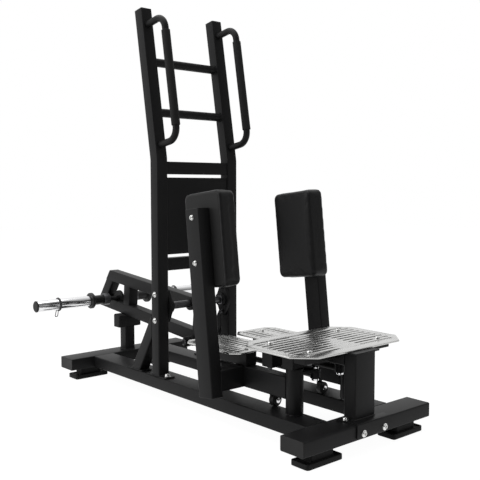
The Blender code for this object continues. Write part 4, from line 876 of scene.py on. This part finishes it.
# Weight rod, stop collars and plate sleeves
# A steel rod across the lever carries a pressed collar with a stop flange and a polished chrome
# sleeve at each end, closed with a domed cap.
ROD = on_lever(*ROD_AT)
ROD_BORE = 0.0113
chrome = finish("polished_chrome", (0.83, 0.83, 0.84), 0.17, 1.0, 1800.0, 0.000001, 0.02)
collar_black = finish("collar_black", 0.018, 0.36, 0.0, 900.0, 0.00008, gloss=0.3)
ring_grey = finish("collar_grey", (0.10, 0.10, 0.105), 0.38, 0.6, 700.0, 0.00005)
ring = ring_profile(ROD_BORE, 0.0270, 0.062, 0.092, 0.0015, 4)
collar = rounded(
    [(ROD_BORE, 0.0915), (0.0220, 0.0915), (0.0220, 0.1450), (0.0330, 0.1450), (0.0370, 0.1490),
     (0.0345, 0.1535), (0.0370, 0.1580), (0.0345, 0.1620), (ROD_BORE, 0.1620)],
    [0.001, 0.001, 0.003, 0.003, 0.0015, 0.002, 0.0015, 0.0015, 0.001], 4,
)
sleeve = ring_profile(ROD_BORE, 0.0250, 0.1623, 0.4247, 0.0008)
cap = np.vstack([[(POLE, 0.4100)], soft_profile(
    [(0.0095, 0.4100), (0.0095, 0.4250), (0.0252, 0.4250), (0.0252, 0.4290), (0.0215, 0.4318),
     (0.0120, 0.4320), (POLE, 0.4316)], 0.0012)])
low, high = np.array(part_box("weight_rod"))
piece("weight_rod_bar", [turned(bar_profile(0.011, low[0], high[0], 0.001), ROD, X, 56)],
      shaft_steel, "lever", ["weight_rod"])
for side, sign in SIDES:
    out = X * sign
    piece(side + "_collar_ring", [turned(ring, ROD, out, bore=True)], ring_grey,
          "lever", [side + "_stop_collar"])
    piece(side + "_collar_flange", [turned(collar, ROD, out, 72, bore=True)], collar_black,
          "lever")
    piece(side + "_sleeve_tube", [turned(sleeve, ROD, out, 96, bore=True)], chrome,
          "lever", [side + "_plate_sleeve"])
    piece(side + "_sleeve_cap_dome", [turned(cap, ROD, out, 72)], cap_plastic, "lever",
          [side + "_sleeve_cap"])


# Spring clips
# A ring of spring wire that grips the sleeve and keeps the weight plates on, with a small wire
# loop to pull it off by.
CLIP_WIRE = 0.0027
CLIP_AT = 0.320
clip_steel = finish("clip_spring_steel", (0.020, 0.020, 0.021), 0.34, 0.0, 600.0, 0.00003,
                    gloss=0.4)
clip_wire = (0.0256 + CLIP_WIRE, 0) + circle_of(CLIP_WIRE, 12) * (1, 1.25)
clip_down = np.array([0.0, 0.35, -0.94])
for side, sign in SIDES:
    centre = ROD + (sign * CLIP_AT, 0, 0)
    top = centre + clip_down * 0.0285
    low_end = top + clip_down * 0.034
    corners = [top - X * 0.005, low_end - X * 0.0065, low_end + X * 0.0065, top + X * 0.005]
    path = rounded(corners, 0.0058, 8, closed=False)
    piece(side + "_spring_clip_wire", [
        turned(clip_wire, centre, X, bore=True),
        along_path(0.0018, path, np.cross(X, clip_down), 12),
    ], clip_steel, side + "_clip", [side + "_spring_clip"])


# Swinging arms
# Each arm is one weldment: the hub tube round its shaft, the crank and its pin, a 75 x 50 mm
# beam, a side tube, the leaning leg, the foot plate's carrier tube and the wheel's bracket.
RAIL_TOP = 0.0963
BEAM_Z = 0.1845
SIDE_Y = 0.252
LEG_FOOT = 0.126
LEG_X = 0.284
LEG_LEAN = np.radians(6.6)
UP_LEG = np.array([0.0, np.sin(LEG_LEAN), np.cos(LEG_LEAN)])
BACK_LEG = np.array([0.0, np.cos(LEG_LEAN), -np.sin(LEG_LEAN)])
CARRIER_Z = 0.247
CRANK = 0.078
CRANK_ANGLE = np.radians(17.5)
CRANK_THICK = 0.010
CRANK_ROUND = 0.029
EYE_ROUND = 0.019
EYE_ROOM = 0.0113
ROD_Z = PULL[2]
WHEEL_BRACKET = 0.0103


def on_leg(side, height, back=0.0, out=0.0):
    """A point of the leg's line at a height over the floor, behind its middle by back and out from
    the machine's middle."""
    sign = dict(SIDES)[side]
    low_end = (0.0, HUB_Y + 0.2695 - (BEAM_Z - LEG_FOOT) * np.tan(LEG_LEAN), LEG_FOOT)
    along = (height - LEG_FOOT) / np.cos(LEG_LEAN)
    return low_end + UP_LEG * along + BACK_LEG * back + (sign * out, 0, 0)


def crank_pin_at(side):
    """The middle of a crank's pin, on the floor."""
    return HUB[side] - CRANK * np.array([dict(SIDES)[side] * np.cos(CRANK_ANGLE),
                                         np.sin(CRANK_ANGLE), 0])


def wheel_at(side):
    """The middle of a support wheel."""
    return HUB[side] + (-dict(SIDES)[side] * 0.018, 0.112, RAIL_TOP + 0.0223)


lean = np.arccos((CRANK_ROUND - EYE_ROUND) / CRANK)
crank_outline = np.vstack([
    np.stack([reach + radius * np.cos(t), radius * np.sin(t)], 1)
    for reach, radius, t in ((CRANK, EYE_ROUND, np.linspace(-lean, lean, 18)),
                             (0, CRANK_ROUND, np.linspace(lean, 2 * np.pi - lean, 28)))
])
crank_low, crank_high = ROD_Z + EYE_ROOM, ROD_Z + EYE_ROOM + CRANK_THICK
under = ROD_Z - EYE_ROOM
pin_profile = soft_profile(
    [(POLE, under - 0.009), (0.0115, under - 0.009), (0.0130, under - 0.0075),
     (0.0130, under - 0.002), (0.008, under), (0.008, crank_high), (0.013, crank_high + 0.0002),
     (0.013, crank_high + 0.0045), (0.0095, crank_high + 0.0072), (POLE, crank_high + 0.0075)],
    0.0006,
)
stub = soft_profile([(POLE, -0.016), (0.009, -0.016), (0.009, -WHEEL_BRACKET),
                     (0.005, -WHEEL_BRACKET), (0.005, 0.013), (POLE, 0.013)], 0.0004)
beam = rectangle(0.050, 0.075, TUBE_CORNER)
for side, sign in SIDES:
    name = side + "_arm_frame"
    hub, pin, wheel = HUB[side], crank_pin_at(side), wheel_at(side)
    towards = (pin - hub) / CRANK
    bracket = wheel + (0, WHEEL_BRACKET + 0.003, 0)
    shells = [
        turned(ring_profile(0.0153, 0.030, 0.1009, 0.2538, 0.001), hub, Z, 72, bore=True),
        straight(beam, hub + (0, 0.020, BEAM_Z), hub + (0, 0.277, BEAM_Z), X, Z),
        straight(rectangle(0.0495, 0.0745, TUBE_CORNER), hub + (sign * 0.013, SIDE_Y, BEAM_Z),
                 hub + (sign * 0.130, SIDE_Y, BEAM_Z), Y, Z),
        straight(beam, on_leg(side, LEG_FOOT, 0, LEG_X),
                 on_leg(side, LEG_FOOT, 0, LEG_X) + UP_LEG * 0.659, X, BACK_LEG),
        straight(square_tube, hub + (0, 0.217, CARRIER_Z), hub + (0, 0.487, CARRIER_Z), X, Z),
        straight(crank_outline, hub + (0, 0, crank_low), hub + (0, 0, crank_high), towards,
                 np.cross(Z, towards), 0.0006),
        straight(rectangle(0.024, 0.006, 0.0008, 3), bracket - (0, 0, 0.012),
                 (bracket[0], bracket[1], 0.148), X, Y, 0.0005),
    ]
    coated(name + "_tubes", shells, [name], side + "_arm")
    piece(side + "_crank_pin", [turned(pin_profile, pin, Z, 48),
                                turned(stub, wheel, Y, 36)], chrome, side + "_arm")


# Foot plates
# The same slotted 5 mm plate as the step's, one on each arm's carrier tube, on two bolts.
FOOT_SPANS = ((0.042, 0.117), (0.157, 0.206))
FOOT_CHAMFER = 0.030
for side, sign in SIDES:
    name = side + "_foot_plate"
    low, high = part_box(name)
    spans = [tuple(sorted(sign * x for x in span)) for span in FOOT_SPANS]
    rows = (low[1] + high[1]) / 2 + SLOT_PITCH * (np.arange(10) - 4.5)
    slotted_plate(name, spans, rows, FOOT_CHAMFER, side + "_arm")


# Pads
# Foam cushions in smooth black leatherette, pulled round a plywood board's edges and stapled behind
# it, bolted through the leg. Their faces are lightly crowned and their edges rounded.
PAD_Z = 0.671
BOARD_THICK = 0.012
PAD_THICK = 0.0620
PAD_OUTLINE = rectangle(0.202, 0.337, 0.022, 10)
PAD_ROWS = np.array([
    (0.007, -0.0115), (0.001, -0.0105), (0.0, -0.006), (0.0, 0.012), (0.0, 0.034),
    (0.0006, PAD_THICK - 0.010), (0.003, PAD_THICK - 0.004), (0.009, PAD_THICK),
])
PAD_CROWN = np.linspace(0.86, 0.06, 9)
CROWN = 0.002
PUFF = 0.0015
BLOWING_FRAMES = 20
leatherette = finish("black_leatherette", (0.0088, 0.0088, 0.0092), 0.42, 0.0, 1500.0, 0.0001,
                     gloss=0.2)
board_black = finish("painted_board", 0.022, 0.58, 0.0, 300.0, 0.0002, gloss=0.15)


def puffed(form, back_x):
    """A closed form blown up as a filled cover: remeshed evenly, held behind its board (|x| over
    back_x), pushed out by air pressure, with each point's way capped."""
    cover = stood("cover", closed_mesh("cover", *form))
    even = cover.modifiers.new("even", "REMESH")
    even.mode = "VOXEL"
    even.voxel_size = 0.005
    seen_cover = cover.evaluated_get(bpy.context.evaluated_depsgraph_get())
    cover.data = bpy.data.meshes.new_from_object(seen_cover)
    cover.modifiers.clear()
    start = np.empty(len(cover.data.vertices) * 3)
    cover.data.vertices.foreach_get("co", start)
    start = points = start.reshape(-1, 3)
    faces = [list(face.vertices) for face in cover.data.polygons]
    held = cover.vertex_groups.new(name="held")
    held.add(np.flatnonzero(abs(start[:, 0]) > back_x).tolist(), 1.0, "REPLACE")
    cloth = cover.modifiers.new("cover", "CLOTH").settings
    cloth.use_pressure = True
    cloth.uniform_pressure_force = 4.0
    cloth.effector_weights.gravity = 0.0
    cloth.vertex_group_mass = "held"
    for step in range(1, BLOWING_FRAMES + 1):
        bpy.context.scene.frame_set(step)
    blown = cover.evaluated_get(bpy.context.evaluated_depsgraph_get())
    points = np.empty(len(start) * 3)
    blown.data.vertices.foreach_get("co", points)
    way = points.reshape(-1, 3) - start
    length = np.maximum(np.linalg.norm(way, axis=1, keepdims=True), 1e-9)
    points = start + way * np.minimum(1.0, PUFF / length)
    bpy.context.scene.frame_set(1)
    bpy.data.objects.remove(cover, do_unlink=True)
    return points, faces


outlines = np.vstack([shrunk(PAD_OUTLINE, PAD_ROWS[:, 0]), PAD_OUTLINE * PAD_CROWN[:, None, None]])
lifts = np.append(PAD_ROWS[:, 1], PAD_THICK + CROWN * (1 - PAD_CROWN ** 2))
for side, sign in SIDES:
    out = X * sign
    board = on_leg(side, PAD_Z, 0.003, 0.2587)
    piece(side + "_board_face",
          [straight(rectangle(0.184, 0.323, 0.018, 8), board, board - out * BOARD_THICK, BACK_LEG,
                    UP_LEG, 0.0015)], board_black, side + "_arm", [side + "_pad_board"])
    places = on_leg(side, PAD_Z, 0.004, 0.2464) - lifts[:, None] * out
    form = carried(outlines, places, BACK_LEG, UP_LEG)
    pad = piece(side + "_pad_cushion", [puffed(form, 0.2544)], leatherette,
                side + "_arm", [side + "_pad"], sharp=80)
    smooth = pad.modifiers.new("smooth", "SUBSURF")
    smooth.levels = smooth.render_levels = 1


# Support wheels
# Small rubber wheels on the arms' brackets, running on the rails. They are a misreading of the
# photograph, which shows clear background there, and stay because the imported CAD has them.
wheel_rubber = finish("wheel_rubber", 0.026, 0.48, 0.0, 900.0, 0.0001, gloss=0.2)
tyre = ring_profile(0.0053, 0.0220, -0.010, 0.010, 0.0018, 4)
for side, _ in SIDES:
    piece(side + "_wheel_tyre", [turned(tyre, wheel_at(side), Y, 56, bore=True)],
          wheel_rubber, side + "_wheel", [side + "_support_wheel"])


# Push rods
# Round bars with a welded eye at each end, from the crank pin to the lever's cross pin.
front_eye = ring_profile(0.0083, 0.018, -0.011, 0.011, 0.0012)
rear_eye = ring_profile(0.0105, 0.021, -0.010, 0.010, 0.0012)
for side, _ in SIDES:
    front = crank_pin_at(side) + (0, 0, ROD_Z)
    rear = np.array([front[0], PULL[1], ROD_Z])
    bar = [(0.0105, 0.0165), (0.0105, rear[1] - front[1] - 0.0195)]
    coated(side + "_push_rod_bar", [
        turned(front_eye, front, Z, 56, bore=True),
        turned(rear_eye, rear, X, 56, bore=True),
        turned(bar, front, Y, 40),
    ], [side + "_push_rod"], side + "_rod")


# Bolts
# Zinc plated socket head bolts on plain washers hold the plates, feet, bearings and pads, and
# blackened nuts hold the step's and the bearings' bolts from inside.
bolt_zinc = finish("zinc_plate", (0.80, 0.80, 0.79), 0.24, 1.0, 900.0, 0.000004)
bolts = {"base": [], "left_arm": [], "right_arm": []}
black_nuts = []


def bolt(body, place, facing, radius=0.008, height=0.007, washer=0.011):
    """A domed socket head on a washer: a turned profile that dips into a deep round socket."""
    profile = [
        (washer, 0.0), (washer, 0.0014), (radius, 0.0015), (radius, height * 0.45),
        (radius * 0.93, height * 0.75), (radius * 0.76, height), (radius * 0.56, height),
        (radius * 0.54, height * 0.9), (radius * 0.50, 0.0012), (0.0003, 0.0011),
    ]
    bolts[body].append(turned(profile, place, facing, 36))


def nut(place, facing, across=0.0135, height=0.009):
    """A hexagon nut on a washer: rings of six sided outlines between a round washer's rings."""
    side_a = np.cross(facing, Y if abs(facing[1]) < 0.9 else X)
    circle = circle_of(1.0, 48)
    angle = np.linspace(0, 2 * np.pi, 48, endpoint=False)
    sixth = (angle + np.pi / 6) % (np.pi / 3) - np.pi / 6
    hexagon = circle * (across / 2 / np.cos(sixth))[:, None]
    washer, hole = circle * across * 0.66, circle * 0.0042
    outlines = np.array([washer, washer, hexagon, hexagon, hexagon * 0.93, hole, hole])
    lifts = np.array([0.0, 0.0014, 0.0015, height - 0.001, height, height, height - 0.003])
    places = place + lifts[:, None] * facing
    black_nuts.append(carried(outlines, places, side_a, np.cross(facing, side_a)))


for x in SADDLE_BOLTS:
    bolt("base", (x, cross_low[1] - SADDLE - SADDLE_GAP, 0.0655), -Y, 0.0095, 0.006, 0.0115)
bolt("base", (-0.066, FRONT_Y + 0.0567, saddle_top), Z, height=0.008)
for x, y in STEP_BOLTS:
    bolt("base", (x, y, STEP_TOP), Z, 0.009, 0.006, 0.0095)
    nut((x, y, FRAME_TOP - BAR_DEEP[0 if y < HUB_Y else 1]), -Z)
foot_top = RAIL_TOP + SEAT + FOOT_PLATE
for sign in (-1, 1):
    x = sign * POST_X
    bolt("base", (x, AXLE[1] - 0.046, foot_top), Z, 0.010, 0.010, 0.013)
    bolt("base", (x, AXLE[1] + 0.187, foot_top), Z, 0.0085, 0.008)
    for z in (AXLE[2] - BEARING_BOLT, AXLE[2] + BEARING_BOLT):
        nut((sign * (POST_X - POST_FACE - 0.013), AXLE[1], z), X * -sign)
        bolt("base", (sign * (POST_X + HALF_TUBE), AXLE[1], z), X * sign)
for side, sign in SIDES:
    for height in (0.750, 0.592):
        bolt(side + "_arm", on_leg(side, height, 0, LEG_X + HALF_TUBE), X * sign, 0.0085,
             washer=0.0095)
    for along in (0.246, 0.458):
        bolt(side + "_arm", HUB[side] + (0, along, 0.2773), Z, height=0.005, washer=0.0085)
for body, shells in bolts.items():
    piece(body + "_bolts", shells, bolt_zinc, body)
piece("frame_nuts", black_nuts, shaft_steel, "base")
